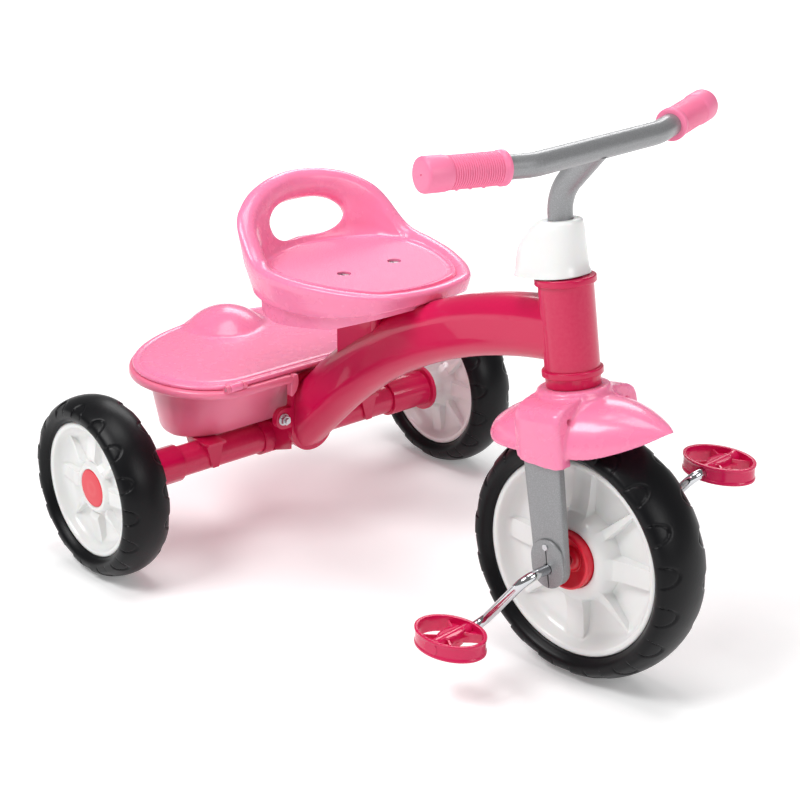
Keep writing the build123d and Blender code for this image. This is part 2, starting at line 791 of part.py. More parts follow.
# --- storage bin and lid -----------------------------------------------------
def bin_outline(front, rear, half):
    """A plan outline: straight front, elliptical front corners and rear."""
    shrink = bin_half - half
    flat = bin_flat_half - shrink / 3
    corner = half - flat
    front_reach = front - bin_waist
    rear_reach = bin_waist - rear
    edges = [
        Line((front, -flat), (front, flat)),
        EllipticalCenterArc((bin_waist, flat), front_reach, corner, 0, arc_size=90),
        EllipticalCenterArc((bin_waist, 0), rear_reach, half, 90, arc_size=180),
        EllipticalCenterArc((bin_waist, -flat), front_reach, corner, 270, arc_size=90),
    ]
    return make_face([edge.edge() for edge in edges])


def bin_body(inset):
    """The tapering bin body, or the space inside it when inset by the wall."""
    front = bin_front - bin_rim_overhang - inset
    rear = bin_rear + bin_rear_overhang + inset
    half = bin_half - bin_side_overhang - inset
    top = bin_outline(front, rear, half)
    bottom = bin_outline(front - bin_front_draft, rear + bin_rear_draft, half - bin_side_draft)
    return loft([Pos(0, 0, bin_bottom + inset) * bottom, Pos(0, 0, bin_lip + (1 if inset else 0)) * top])


def beam_notch(extra, low=0.0):
    """The space that the bin leaves for the backbone and its flange."""
    start = bin_front - notch_depth - extra
    return block((start, bin_front + 50), (-notch_half - extra, notch_half + extra), (low, bin_lip + 50))


def storage_bin():
    """The open bin with its rim, its beam notch, tabs and hinge seats."""
    body = bin_body(0)
    rim_plate = extrude(bin_outline(bin_front, bin_rear, bin_half), bin_rim_height)
    body += Pos(0, 0, bin_top) * rim_plate
    body -= beam_notch(0)
    body -= bin_body(bin_wall) - beam_notch(bin_wall)
    tab_in = backbone_width / 2 + 2
    for side in (-1, 1):
        low, high = sorted((side * tab_in, side * notch_half))
        body += block((bin_front - 10, bin_front), (low, high), (bin_top - 8, bin_lip))
        body -= hinge_relief(side)
        body += bin_knuckles(side)
        body -= span(bin_screw_radius, bin_bottom - 1, bin_bottom + 8, "Z", (bin_screw_x, side * support_out))
    return body


def hinge_relief(side):
    """The space in the rim round a lid knuckle."""
    y_low = side * hinge_out - hinge_half_length - body_gap
    y_high = side * hinge_out + hinge_half_length + body_gap
    reach = hinge_radius + body_gap
    return block((hinge_x - reach, bin_front + 5), (y_low, y_high), (hinge_z - reach, hinge_z + 20))


def bin_knuckles(side):
    """The two small bin ears that hold a hinge pin, on either side of a lid knuckle."""
    near = hinge_half_length + body_gap
    ears = []
    for end in (-1, 1):
        start = side * hinge_out + end * near
        ear = span(hinge_radius, start, start + end * hinge_ear, "Y", (hinge_x, hinge_z))
        low, high = sorted((start, start + end * hinge_ear))
        ear += block((hinge_x - 3, hinge_x + 3), (low, high), (bin_top, hinge_z))
        pin_end = start + end * (hinge_ear + 1)
        ears.append(ear - span(hinge_pin_radius, start - end, pin_end, "Y", (hinge_x, hinge_z)))
    return Compound(children=ears)


def hinge_pins():
    """The two pins that the lid turns on."""
    reach = hinge_half_length + body_gap + hinge_ear
    pins = []
    for side in (-1, 1):
        pins.append(rod(hinge_pin_radius, 2 * reach, "Y", (hinge_x, side * hinge_out, hinge_z)))
    return Compound(children=pins)


def bin_lid():
    """The lid with a finger dome at the rear and two hinge knuckles."""
    front = hinge_x - lid_front_gap
    rear = bin_rear + lid_inset
    plate = extrude(bin_outline(front, rear, bin_half - lid_inset), lid_thickness)
    plate = Pos(0, 0, lid_low) * plate
    sphere_z = lid_high + lid_dome_rise - lid_dome_radius
    above = block((-300, 300), (-200, 200), (lid_low, lid_high + 60))
    dome = Pos(lid_dome_x, 0, sphere_z) * Sphere(lid_dome_radius)
    inside = Pos(lid_dome_x, 0, sphere_z) * Sphere(lid_dome_radius - 3)
    trim = extrude(bin_outline(front, rear, bin_half - lid_inset), 90)
    dome = (dome & above) & (Pos(0, 0, lid_low) * trim)
    plate = plate + dome
    plate -= inside & above & (Pos(0, 0, lid_low) * extrude(bin_outline(front, rear + 3, bin_half - 5), 90))
    for side in (-1, 1):
        reach = hinge_half_length
        low, high = side * hinge_out - reach, side * hinge_out + reach
        knuckle = span(hinge_radius, low, high, "Y", (hinge_x, hinge_z))
        clear = hinge_half_length + hinge_ear + 2 * body_gap
        ears = (side * hinge_out - clear, side * hinge_out + clear)
        plate -= block((hinge_x - hinge_radius - body_gap, hinge_x), ears, (lid_low - 1, lid_high + 1))
        knuckle += block((hinge_x - hinge_radius - 2, hinge_x), (low, high), (lid_low, lid_high))
        plate += knuckle
        plate -= span(hinge_pin_radius + running_fit, low - 1, high + 1, "Y", (hinge_x, hinge_z))
    return plate


def bin_support():
    """The left bracket under the bin: a plate on a web that tapers down round the axle tube."""
    outer = axle_tube_radius + support_wall
    y_low, y_high = support_out - support_half, support_out + support_half
    foot = support_half / 3
    web = [(y_low, bin_bottom), (y_high, bin_bottom)]
    web += [(support_out + foot, support_foot), (support_out - foot, support_foot)]
    front = Plane(origin=(-outer, 0, 0), x_dir=(0, 1, 0), z_dir=(1, 0, 0))
    saddle = extrude(front * make_face(Polyline(*web, close=True)), 2 * outer)
    saddle += block((-outer - 4, outer + 4), (y_low, y_high), (bin_bottom - support_wall, bin_bottom))
    saddle -= span(axle_tube_radius, y_low - 1, y_high + 1, "Y", (0, rear_radius))
    return saddle - span(bin_screw_radius, rear_radius, bin_bottom + 1, "Z", (bin_screw_x, support_out))


def bin_screws():
    """The two screws through the bin floor into the supports."""
    screws = []
    floor = bin_bottom + bin_wall
    for side in (-1, 1):
        at = (bin_screw_x, side * support_out)
        shank = span(bin_screw_radius, rear_radius + axle_tube_radius, floor, "Z", at)
        screws.append(shank + span(5.0, floor, floor + 2.5, "Z", at))
    return Compound(children=screws)


# --- seat --------------------------------------------------------------------
def seat_outline(inset):
    """The seat's plan outline, moved in by an inset."""
    length = seat_front - seat_rear
    shares = [
        (0.0, 0.0),
        (0.03, 0.36),
        (0.085, 0.67),
        (0.17, 0.885),
        (0.35, 1.0),
        (0.55, 0.965),
        (0.72, 0.845),
        (0.86, 0.685),
        (0.955, 0.47),
        (1.0, 0.0),
    ]
    middle = (seat_front + seat_rear) / 2
    grow = (length - 2 * inset) / length
    points = []
    for along, out in shares:
        x = middle + (seat_rear + along * length - middle) * grow
        points.append((x, out * (seat_half - inset)))
    points += [(x, -y) for x, y in points[-2:0:-1]]
    return make_face(Spline(*points, periodic=True))


def slab(outline, low, high):
    """An upright solid of an outline between two heights."""
    return Pos(0, 0, low) * extrude(outline, high - low)


def seat():
    """The moulded seat: pan, rim, skirt, screw bosses and a back with a handle."""
    rim_low = seat_level - seat_rim_down
    rim_high = seat_level + seat_rim_up
    shell = fillet(slab(seat_outline(0), seat_level - 1, rim_high).edges().sort_by(Axis.Z)[-1:], 4.0)
    shell += loft([Pos(0, 0, rim_low) * seat_outline(seat_rim_taper), Pos(0, 0, seat_level) * seat_outline(0)])
    shell += slab(seat_outline(seat_skirt_inset), seat_skirt_low, rim_low + 1)
    end = seat_front + 5
    rise = [(seat_rise_start, rim_low - 0.5), (end, rim_low + seat_rise), (end, 0), (seat_rise_start, 0)]
    shell -= extrude(Plane.XZ * make_face(Polyline(*rise, close=True)), seat_half, both=True)
    back = slab(seat_outline(0), seat_level - 2, seat_back_top)
    back = back & seat_back_profile() & seat_back_arch()
    shell += back
    shell -= slab(seat_outline(seat_rim_width), seat_level, seat_back_top + 1)
    under = seat_skirt_inset + seat_skirt_wall
    shell -= slab(seat_outline(under), seat_skirt_low - 1, seat_level - seat_pan)
    shell -= backbone_solid(-body_gap)
    opening = block((0, seat_rear + 60), (-handle_half, handle_half), (handle_low, handle_high))
    opening = fillet(opening.edges().filter_by(Axis.X), 18.0)
    shell -= opening
    for side in (-1, 1):
        at = (seat_screw_x, side * seat_screw_out)
        shell += span(seat_boss_radius, seat_boss_low, seat_level - seat_pan, "Z", at)
        shell -= span(seat_boss_radius - 3.5, seat_boss_low + 6, seat_level + 1, "Z", at)
        shell -= span(seat_screw_radius, seat_boss_low - 1, seat_level, "Z", at)
    return shell


def seat_back_profile():
    """The side shape of the back: high at the rear, swooping down to the rim."""
    top = seat_back_top
    low = seat_level - 10
    swoop = Spline((45, top - 2), (62, top - 33), (80, top - 54), (105, top - 76), (140, low + 8))
    edges = [Line((seat_rear - 5, top), (30, top)), Spline((30, top), (38, top - 0.6), (45, top - 2))]
    edges += [swoop, Line((140, low + 8), (140, low)), Line((140, low), (seat_rear - 5, low))]
    edges.append(Line((seat_rear - 5, low), (seat_rear - 5, top)))
    side = Plane.XZ * make_face([edge.edge() for edge in edges])
    return extrude(side, 2 * seat_half, both=True)


def seat_back_arch():
    """The front shape of the back: an arch that falls to the rim at each side."""
    top = seat_back_top
    low = seat_level - 10
    half = [(0, top), (25, top - 2.5), (56, top - 13), (80, top - 24), (95, top - 39), (104, top - 56)]
    half.append((seat_half + 4, low))
    points = [(-y, z) for y, z in half[:0:-1]] + half
    edges = [Spline(*points), Line(points[-1], points[0])]
    front = Plane(origin=(seat_rear - 10, 0, 0), x_dir=(0, 1, 0), z_dir=(1, 0, 0))
    return extrude(front * make_face([edge.edge() for edge in edges]), 200)


def seat_post():
    """The post welded on the backbone, with the plate under the seat."""
    low_x = seat_screw_x - seat_post_length / 2
    high_x = seat_screw_x + seat_post_length / 2
    plate_out = seat_screw_out + seat_boss_radius
    plate_low = seat_boss_low - seat_plate_thickness
    half = seat_post_width / 2
    post = block((low_x, high_x), (-half, half), (rear_radius, plate_low + 1))
    post = fillet(post.edges().filter_by(Axis.Z), 8.0)
    post += block((low_x, high_x), (-plate_out, plate_out), (plate_low, seat_boss_low))
    post -= backbone_solid(0)
    post = post.solids().sort_by(Axis.Z)[-1]
    for side in (-1, 1):
        at = (seat_screw_x, side * seat_screw_out)
        post -= span(seat_screw_radius, plate_low - 1, seat_boss_low + 1, "Z", at)
    return post


def seat_screws():
    """The two screws through the pan into the post's plate."""
    screws = []
    seat_floor = seat_boss_low + 6
    for side in (-1, 1):
        at = (seat_screw_x, side * seat_screw_out)
        shank = span(seat_screw_radius, seat_boss_low - seat_plate_thickness - 2, seat_floor, "Z", at)
        head = span(6.5, seat_floor, seat_floor + 3.5, "Z", at)
        slot = block((at[0] - 5, at[0] + 5), (at[1] - 0.8, at[1] + 0.8), (seat_floor + 2.2, seat_floor + 5))
        screws.append(shank + head - slot)
    return Compound(children=screws)


# --- assembly ----------------------------------------------------------------
def frame_nodes():
    """Every piece that stays still, and the rear wheels and lid that turn on it."""
    rear = Location((0, track / 2, rear_radius))
    left = {
        "rear_tyre": rear * tyre(rear_radius, rear_seat_radius, rear_tyre_half, rear_rim_half),
        "rear_rim": rear * rear_rim(),
        "rear_bush": rear * rear_bush(),
        "rear_hub_cap": rear * rear_hub_cap(),
        "axle_sleeve": axle_sleeve(),
        "bin_support": bin_support(),
    }
    nodes = {
        "backbone_tube": backbone_tube(),
        "backbone_flange": flange_plate(flange_face),
        "head_tube": on_steering(head_tube()),
        "lower_bearing_cup": on_steering(lower_cup()),
        "upper_bearing_cup": on_steering(bearing_cup(head_high, cup_high, head_high - cup_spigot)),
        "axle_bracket": axle_bracket(),
        "frame_bolts": frame_bolts(),
        "frame_nuts": frame_nuts(),
        "rear_axle_tube": rear_axle_tube(),
        "rear_axle_rod": rear_axle_rod(),
        "axle_washers": axle_washers(),
        "axle_push_nuts": axle_push_nuts(),
        "storage_bin": storage_bin(),
        "bin_screws": bin_screws(),
        "bin_lid": bin_lid(),
        "lid_hinge_pins": hinge_pins(),
        "seat": seat(),
        "seat_post": seat_post(),
        "seat_screws": seat_screws(),
    }
    for name, shape in left.items():
        nodes[name + "_left"] = shape
        nodes[name + "_right"] = mirrored(shape)
    return nodes


def steering_nodes():
    """Every piece that turns with the fork, drawn straight ahead."""
    nodes = {
        "fork_crown": on_steering(fork_crown()),
        "steerer_tube": on_steering(steerer_tube()),
        "fender": fender(),
        "stem_cap": on_steering(stem_cap()),
        "stem_tube": stem_tube(),
        "stem_bolt": on_steering(stem_bolt()),
        "stem_nut": on_steering(stem_nut()),
        "handlebar_tube": handlebar_tube(),
    }
    left = {
        "fork_leg": on_steering(fork_leg()),
        "dropout_cover": on_steering(dropout_cover()),
        "dropout_rivet": on_steering(dropout_rivet()),
        "crank_bush": on_steering(crank_bush()),
        "grip": grip(),
    }
    wheel = Location((wheelbase, 0, front_radius))
    nodes["front_tyre"] = wheel * tyre(front_radius, front_seat_radius, front_tyre_half, front_rim_half)
    nodes["front_rim"] = wheel * front_rim()
    nodes["crank"] = wheel * crank()
    left["hub_cup"] = wheel * hub_cup()
    for name, shape in left.items():
        nodes[name + "_left"] = shape
        nodes[name + "_right"] = mirrored(shape)
    pieces = {"pedal": pedal(), "pedal_push_nut": pedal_push_nut(), "pedal_plug": pedal_plug()}
    out = Vector(0, pedal_centre, 0)
    centre = Vector(wheelbase, 0, front_radius)
    for name, shape in pieces.items():
        nodes[name + "_left"] = Pos(*(centre + arm + out)) * shape
        nodes[name + "_right"] = Pos(*(centre - arm - out)) * mirrored(shape)
    return nodes


def build():
    """All nodes in the part's own frame, and how far the rear axle lies from it."""
    nodes = frame_nodes()
    for name, shape in steering_nodes().items():
        nodes[name] = shape.rotate(steering_axis, steer_at_rest)
    boxes = [shape.bounding_box() for shape in nodes.values()]
    middle = (min(box.min.X for box in boxes) + max(box.max.X for box in boxes)) / 2
    return {name: Pos(-middle, 0, 0) * shape for name, shape in nodes.items()}, middle


def main():
    """Writes one STEP file for each node."""
    os.makedirs("parts", exist_ok=True)
    nodes, middle = build()
    for name, shape in nodes.items():
        export_step(shape, f"parts/{name}.step")
    print(len(nodes), "nodes; rear axle at x =", round(-middle, 3))


if __name__ == "__main__":
    main()
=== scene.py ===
import json
import logging
import math
from dataclasses import dataclass, field
from enum import Enum

import bmesh
import bpy
import numpy as np
from mathutils import Matrix, Vector


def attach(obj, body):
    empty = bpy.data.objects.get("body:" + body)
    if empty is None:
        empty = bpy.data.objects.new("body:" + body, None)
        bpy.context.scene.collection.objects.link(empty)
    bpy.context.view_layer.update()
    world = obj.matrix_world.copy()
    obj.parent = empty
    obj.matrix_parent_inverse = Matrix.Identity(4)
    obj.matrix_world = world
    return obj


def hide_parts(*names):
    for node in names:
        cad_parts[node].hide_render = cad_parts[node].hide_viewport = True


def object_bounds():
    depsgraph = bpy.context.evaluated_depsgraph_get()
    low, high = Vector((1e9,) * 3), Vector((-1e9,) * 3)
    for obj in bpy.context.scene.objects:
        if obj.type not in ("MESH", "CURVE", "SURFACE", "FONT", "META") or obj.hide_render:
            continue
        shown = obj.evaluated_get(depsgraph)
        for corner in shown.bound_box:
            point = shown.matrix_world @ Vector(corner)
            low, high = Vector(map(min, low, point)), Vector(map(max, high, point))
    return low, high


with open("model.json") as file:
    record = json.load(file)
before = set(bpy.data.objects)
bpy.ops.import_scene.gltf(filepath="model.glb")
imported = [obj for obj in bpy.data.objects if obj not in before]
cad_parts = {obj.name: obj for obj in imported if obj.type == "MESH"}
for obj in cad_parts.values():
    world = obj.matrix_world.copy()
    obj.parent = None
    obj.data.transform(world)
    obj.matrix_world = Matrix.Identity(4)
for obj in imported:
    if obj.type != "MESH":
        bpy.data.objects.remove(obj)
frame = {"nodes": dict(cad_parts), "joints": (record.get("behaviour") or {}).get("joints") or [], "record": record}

CAD_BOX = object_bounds()
MM = 0.001
# facets round a turned piece, and the turn in degrees beyond which an edge stays crisp
ROUND_STEPS = 96
SMALL_ROUND_STEPS = 48
PIN_STEPS = 40
PLAIN_CREASE = 38.0
MOULDED_CREASE = 50.0
LIPPED_CREASE = 42.0
THIN_PLATE_CREASE = 30.0
LOG = logging.getLogger("tricycle")
JOINTS = {joint["name"]: joint for joint in frame["joints"]}
Nodes = bpy.types.NodeTree
Socket = bpy.types.NodeSocket


class Side(Enum):
    """The rider's two sides, with the sign of Y on each."""

    LEFT = 1.0
    RIGHT = -1.0

    @property
    def word(self) -> str:
        """The word that ends the names of this side's pieces."""
        return self.name.lower()


class Slot(Enum):
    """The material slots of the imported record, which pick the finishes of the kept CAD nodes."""

    PINK = "pink_plastic"
    CRIMSON_PAINT = "crimson_paint"
    CRIMSON = "crimson_plastic"
    WHITE = "white_plastic"
    TYRE = "black_tyre"
    SILVER = "silver_paint"
    CHROME = "chrome_rod"
    ZINC = "zinc_steel"
    NYLON = "nylon"


# --- places ------------------------------------------------------------------
@dataclass(frozen=True)
class Axes:
    """A local frame in millimetres: an origin, and a turn whose columns are X, Y and Z."""

    origin: np.ndarray
    turn: np.ndarray

    def place(self, points: np.ndarray) -> np.ndarray:
        """Local points in millimetres as row-frame points in metres."""
        return (np.asarray(points, float) @ self.turn.T + self.origin) * MM

    def moved(self, x: float, y: float, z: float) -> "Axes":
        """The same directions about another local point."""
        return Axes(self.origin + self.turn @ np.array([x, y, z], float), self.turn)

    def turned(self, columns: tuple[tuple[float, float, float], ...]) -> "Axes":
        """The same origin with new directions, given as local X, Y and Z."""
        return Axes(self.origin, self.turn @ np.array(columns, float).T)


def joint_point(name: str) -> np.ndarray:
    """The place of a joint, in millimetres."""
    return np.array(JOINTS[name]["pos_m"], float) / MM


def chassis_axes() -> Axes:
    """The frame on the ground under the rear axle, square to the tricycle."""
    rear = joint_point("rear_wheel_left_spin")
    return Axes(np.array([rear[0], 0.0, 0.0]), np.eye(3))


def steered_turn() -> np.ndarray:
    """How the stored steering angle turns everything on the fork."""
    axis = Vector(JOINTS["steering"]["axis"])
    across = Vector(JOINTS["front_wheel_spin"]["axis"])
    straight = Vector((0, 1, 0))
    angle = math.atan2(straight.cross(across).dot(axis), straight.dot(across))
    return np.array(Matrix.Rotation(angle, 3, axis))


def front_axes() -> Axes:
    """The frame at the front wheel's centre, steered but not leaning back."""
    return Axes(joint_point("steering"), steered_turn())


def fork_axes() -> Axes:
    """The frame at the front wheel's centre whose Z is the steering axis."""
    rise = JOINTS["steering"]["axis"]
    columns = ((rise[2], 0, -rise[0]), (0, 1, 0), (rise[0], 0, rise[2]))
    return front_axes().turned(columns)


def long_axes(node: str, toward: tuple[float, float, float]) -> tuple[Axes, float]:
    """The axis of a long round CAD node.

    Args:
        node: The node's name.
        toward: A direction that local Y has to agree with.

    Returns:
        Axes at the node's near end, with Y along the node, and its length.
    """
    points = np.array([v.co for v in frame["nodes"][node].data.vertices]) / MM
    points = np.unique(np.round(points, 3), axis=0)
    centre = points.mean(0)
    along = np.linalg.svd(points - centre, full_matrices=False)[2][0]
    along = along if along @ np.array(toward) > 0 else -along
    reach = (points - centre) @ along
    up = np.array([0.0, 0.0, 1.0])
    up = up - (up @ along) * along
    up = up / np.linalg.norm(up)
    turn = np.column_stack([np.cross(along, up), along, up])
    return Axes(centre + along * reach.min(), turn), float(reach.max() - reach.min())


# --- mesh making -------------------------------------------------------------
@dataclass
class Shell:
    """Vertices and faces of one or more closed skins, with a finish number for each face."""

    points: list[np.ndarray] = field(default_factory=list)
    faces: list[tuple[int, ...]] = field(default_factory=list)
    finishes: list[int] = field(default_factory=list)

    def count(self) -> int:
        """How many vertices there are so far."""
        return sum(len(p) for p in self.points)

    def add(self, points: np.ndarray, faces: list[tuple[int, ...]], finish: int = 0) -> "Shell":
        """Adds a skin, and returns the shell."""
        first = self.count()
        self.points.append(np.asarray(points, float))
        self.faces += [tuple(first + i for i in face) for face in faces]
        self.finishes += [finish] * len(faces)
        return self


def quads(rows: int, columns: int, wrap: bool = False) -> list[tuple[int, ...]]:
    """Faces between rows of vertices that each close on themselves.

    Args:
        rows: The number of rows.
        columns: The number of vertices in each row.
        wrap: Whether the last row joins the first.

    Returns:
        Four vertex numbers for each face.
    """
    faces = []
    for row in range(rows if wrap else rows - 1):
        near, far = row * columns, ((row + 1) % rows) * columns
        for column in range(columns):
            after = (column + 1) % columns
            faces.append((near + column, near + after, far + after, far + column))
    return faces


def skin(rings: np.ndarray, wrap: bool = False) -> Shell:
    """A closed skin over rings of points, with flat ends unless it wraps."""
    rows, columns = rings.shape[:2]
    faces = quads(rows, columns, wrap)
    if not wrap:
        faces.append(tuple(range(columns))[::-1])
        faces.append(tuple((rows - 1) * columns + i for i in range(columns)))
    return Shell().add(rings.reshape(-1, 3), faces)


def flow(points: np.ndarray, per_span: int, closed: bool = False) -> np.ndarray:
    """A smooth curve through points, as more points."""
    p = np.asarray(points, float)
    if closed:
        run = np.vstack([p[-1:], p, p[:2]])
    else:
        run = np.vstack([2 * p[:1] - p[1:2], p, 2 * p[-1:] - p[-2:-1]])
    t = np.linspace(0, 1, per_span, endpoint=False)[:, None]
    parts = []
    for a, b, c, d in zip(run, run[1:], run[2:], run[3:]):
        bend = (2 * a - 5 * b + 4 * c - d) * t**2 + (3 * b - a - 3 * c + d) * t**3
        parts.append(0.5 * (2 * b + (c - a) * t + bend))
    if not closed:
        parts.append(p[-1:])
    return np.vstack(parts)


def eased(points: list[tuple[float, ...]], cut: float, steps: int = 4, closed: bool = False) -> np.ndarray:
    """A run of straight lines with each corner rounded off.

    Args:
        points: The corners.
        cut: How far from a corner its rounding starts.
        steps: How many pieces the rounding has.
        closed: Whether the run closes on itself.

    Returns:
        The rounded run as points.
    """
    p = np.asarray(points, float)
    count = len(p)
    out = [] if closed else [p[0]]
    for i in range(0 if closed else 1, count if closed else count - 1):
        before, corner, after = p[i - 1], p[i], p[(i + 1) % count]
        back, ahead = before - corner, after - corner
        near = min(cut, 0.45 * np.linalg.norm(back)) / max(np.linalg.norm(back), 1e-9)
        far = min(cut, 0.45 * np.linalg.norm(ahead)) / max(np.linalg.norm(ahead), 1e-9)
        start, end = corner + back * near, corner + ahead * far
        for t in np.linspace(0, 1, steps + 1):
            out.append((1 - t) ** 2 * start + 2 * t * (1 - t) * corner + t * t * end)
    if not closed:
        out.append(p[-1])
    return np.array(out)


def lathe(profile: np.ndarray, count: int = ROUND_STEPS, wrap: bool = True) -> Shell:
    """A skin turned about local Y from (radius, along) points."""
    angle = np.linspace(0, 2 * math.pi, count, endpoint=False)
    radius, along = profile[:, :1], profile[:, 1:2]
    rings = [radius * np.cos(angle), along + 0 * angle, radius * np.sin(angle)]
    return skin(np.stack(rings, axis=-1), wrap)


def inward(outline: np.ndarray) -> np.ndarray:
    """The direction into a closed outline at each of its points, longer at sharp corners."""
    after = np.roll(outline, -1, axis=0) - outline
    edge = np.column_stack([-after[:, 1], after[:, 0]])
    edge /= np.maximum(np.linalg.norm(edge, axis=1), 1e-9)[:, None]
    both = edge + np.roll(edge, 1, axis=0)
    both /= np.maximum((both**2).sum(1), 0.5)[:, None] / 2
    x, y = outline.T
    area = (x * np.roll(y, -1) - np.roll(x, -1) * y).sum()
    return both * np.sign(area)


def plate(outline: np.ndarray, low: float, high: float, ease: float = 0.6, steps: int = 4) -> Shell:
    """A flat plate in local XZ between two Y levels, with rounded edges."""
    inner = inward(outline)
    quarter = [(ease * (1 - math.sin(t)), ease * (1 - math.cos(t)))
               for t in np.linspace(0, math.pi / 2, steps)]
    levels = [(inset, low + up) for inset, up in quarter] + [(inset, high - up)
                                                             for inset, up in quarter[::-1]]
    rings = []
    for inset, y in levels:
        ring = outline + inner * inset
        rings.append(np.column_stack([ring[:, 0], np.full(len(ring), y), ring[:, 1]]))
    return skin(np.array(rings))


def joined(*shells: Shell) -> Shell:
    """Several shells as one."""
    whole = Shell()
    for shell in shells:
        first = whole.count()
        whole.points += shell.points
        whole.faces += [tuple(first + i for i in face) for face in shell.faces]
        whole.finishes += shell.finishes
    return whole


def shifted(shell: Shell, axes: Axes, base: Axes) -> Shell:
    """A shell drawn in one frame, as points of another."""
    moved = Shell(faces=list(shell.faces), finishes=list(shell.finishes))
    world = axes.place(np.vstack(shell.points)) / MM
    moved.points = [(world - base.origin) @ base.turn]
    return moved


def smooth_step(value: np.ndarray, low: float, high: float) -> np.ndarray:
    """A soft step from 0 at low to 1 at high."""
    t = np.clip((value - low) / (high - low), 0, 1)
    return t * t * (3 - 2 * t)


# --- shader groups -----------------------------------------------------------
class GroupTree:
    """A shader node group with named inputs and outputs."""

    def __init__(self, name: str, inputs: dict[str, float | tuple], outputs: dict[str, str]) -> None:
        """Makes the group.

        Args:
            name: The group's name.
            inputs: Each input's name and value; four numbers are a colour.
            outputs: Each output's name and socket type.
        """
        self.tree = bpy.data.node_groups.new(name, "ShaderNodeTree")
        for label, value in inputs.items():
            kind = "NodeSocketColor" if isinstance(value, tuple) else "NodeSocketFloat"
            socket = self.tree.interface.new_socket(name=label, in_out="INPUT", socket_type=kind)
            socket.default_value = value
        for label, kind in outputs.items():
            self.tree.interface.new_socket(name=label, in_out="OUTPUT", socket_type=kind)
        self.inside = self.tree.nodes.new("NodeGroupInput")
        self.outside = self.tree.nodes.new("NodeGroupOutput")

    def link(self, start: Socket, end: Socket) -> None:
        """Joins two sockets."""
        self.tree.links.new(start, end)

    def coordinates(self) -> Socket:
        """The object's own coordinates, in metres."""
        return self.tree.nodes.new("ShaderNodeTexCoord").outputs["Object"]

    def noise(self, scale: float, detail: float = 2.0) -> bpy.types.Node:
        """A noise texture on the object's coordinates."""
        node = self.tree.nodes.new("ShaderNodeTexNoise")
        node.inputs["Scale"].default_value = scale
        node.inputs["Detail"].default_value = detail
        self.link(self.coordinates(), node.inputs["Vector"])
        return node

    def maths(self, operation: str, *values: Socket | float) -> Socket:
        """One step of arithmetic on sockets or numbers."""
        node = self.tree.nodes.new("ShaderNodeMath")
        node.operation = operation
        for socket, value in zip(node.inputs, values):
            if isinstance(value, (int, float)):
                socket.default_value = value
            else:
                self.link(value, socket)
        return node.outputs[0]

    def around(self, middle: Socket | float, wave: Socket, amount: Socket | float) -> Socket:
        """A value that moves about its middle as a 0 to 1 wave does."""
        return self.maths("ADD", middle, self.maths("MULTIPLY", self.maths("SUBTRACT", wave, 0.5), amount))

    def mixed(self, factor: Socket, first: Socket, second: Socket) -> Socket:
        """Two colours mixed by a factor."""
        node = self.tree.nodes.new("ShaderNodeMix")
        node.data_type = "RGBA"
        self.link(factor, node.inputs["Factor"])
        self.link(first, node.inputs["A"])
        self.link(second, node.inputs["B"])
        return node.outputs["Result"]

    def bump(self, height: Socket, distance: float, strength: Socket | float,
             before: Socket | None = None) -> Socket:
        """A bump of a height in metres, on top of another normal if one is given."""
        node = self.tree.nodes.new("ShaderNodeBump")
        node.inputs["Distance"].default_value = distance
        self.link(height, node.inputs["Height"])
        if isinstance(strength, float):
            node.inputs["Strength"].default_value = strength
        else:
            self.link(strength, node.inputs["Strength"])
        if before is not None:
            self.link(before, node.inputs["Normal"])
        return node.outputs["Normal"]


def surface_group() -> GroupTree:
    """The even skin of a moulded or painted piece: drift of colour, smudges and orange peel."""
    inputs = {
        "Colour": (0.8, 0.8, 0.8, 1.0),
        "Deep colour": (0.6, 0.6, 0.6, 1.0),
        "Drift": 0.2,
        "Roughness": 0.3,
        "Smudge": 0.08,
        "Peel": 0.2,
    }
    outputs = {"Colour": "NodeSocketColor", "Roughness": "NodeSocketFloat", "Normal": "NodeSocketVector"}
    group = GroupTree("even_skin", inputs, outputs)
    given = group.inside.outputs
    drift = group.noise(14.0, 3.0).outputs[0]
    factor = group.maths("MULTIPLY", drift, given["Drift"])
    group.link(group.mixed(factor, given["Colour"], given["Deep colour"]), group.outside.inputs["Colour"])
    smudge = group.noise(55.0, 5.0).outputs[0]
    group.link(group.around(given["Roughness"], smudge, given["Smudge"]), group.outside.inputs["Roughness"])
    peel = group.noise(420.0, 1.0).outputs[0]
    group.link(group.bump(peel, 0.00012, given["Peel"]), group.outside.inputs["Normal"])
    return group


def grain_group() -> GroupTree:
    """Fine leathery grain, as spark-eroded moulds leave on plastic."""
    inputs = {"Scale": 900.0, "Strength": 0.5}
    group = GroupTree("mould_grain", inputs, {"Normal": "NodeSocketVector", "Pits": "NodeSocketFloat"})
    given = group.inside.outputs
    cells = group.tree.nodes.new("ShaderNodeTexVoronoi")
    group.link(group.coordinates(), cells.inputs["Vector"])
    group.link(given["Scale"], cells.inputs["Scale"])
    speck = group.noise(1500.0, 3.0).outputs[0]
    height = group.maths("ADD", cells.outputs["Distance"], speck)
    group.link(group.bump(height, 0.0004, given["Strength"]), group.outside.inputs["Normal"])
    group.link(cells.outputs["Distance"], group.outside.inputs["Pits"])
    return group


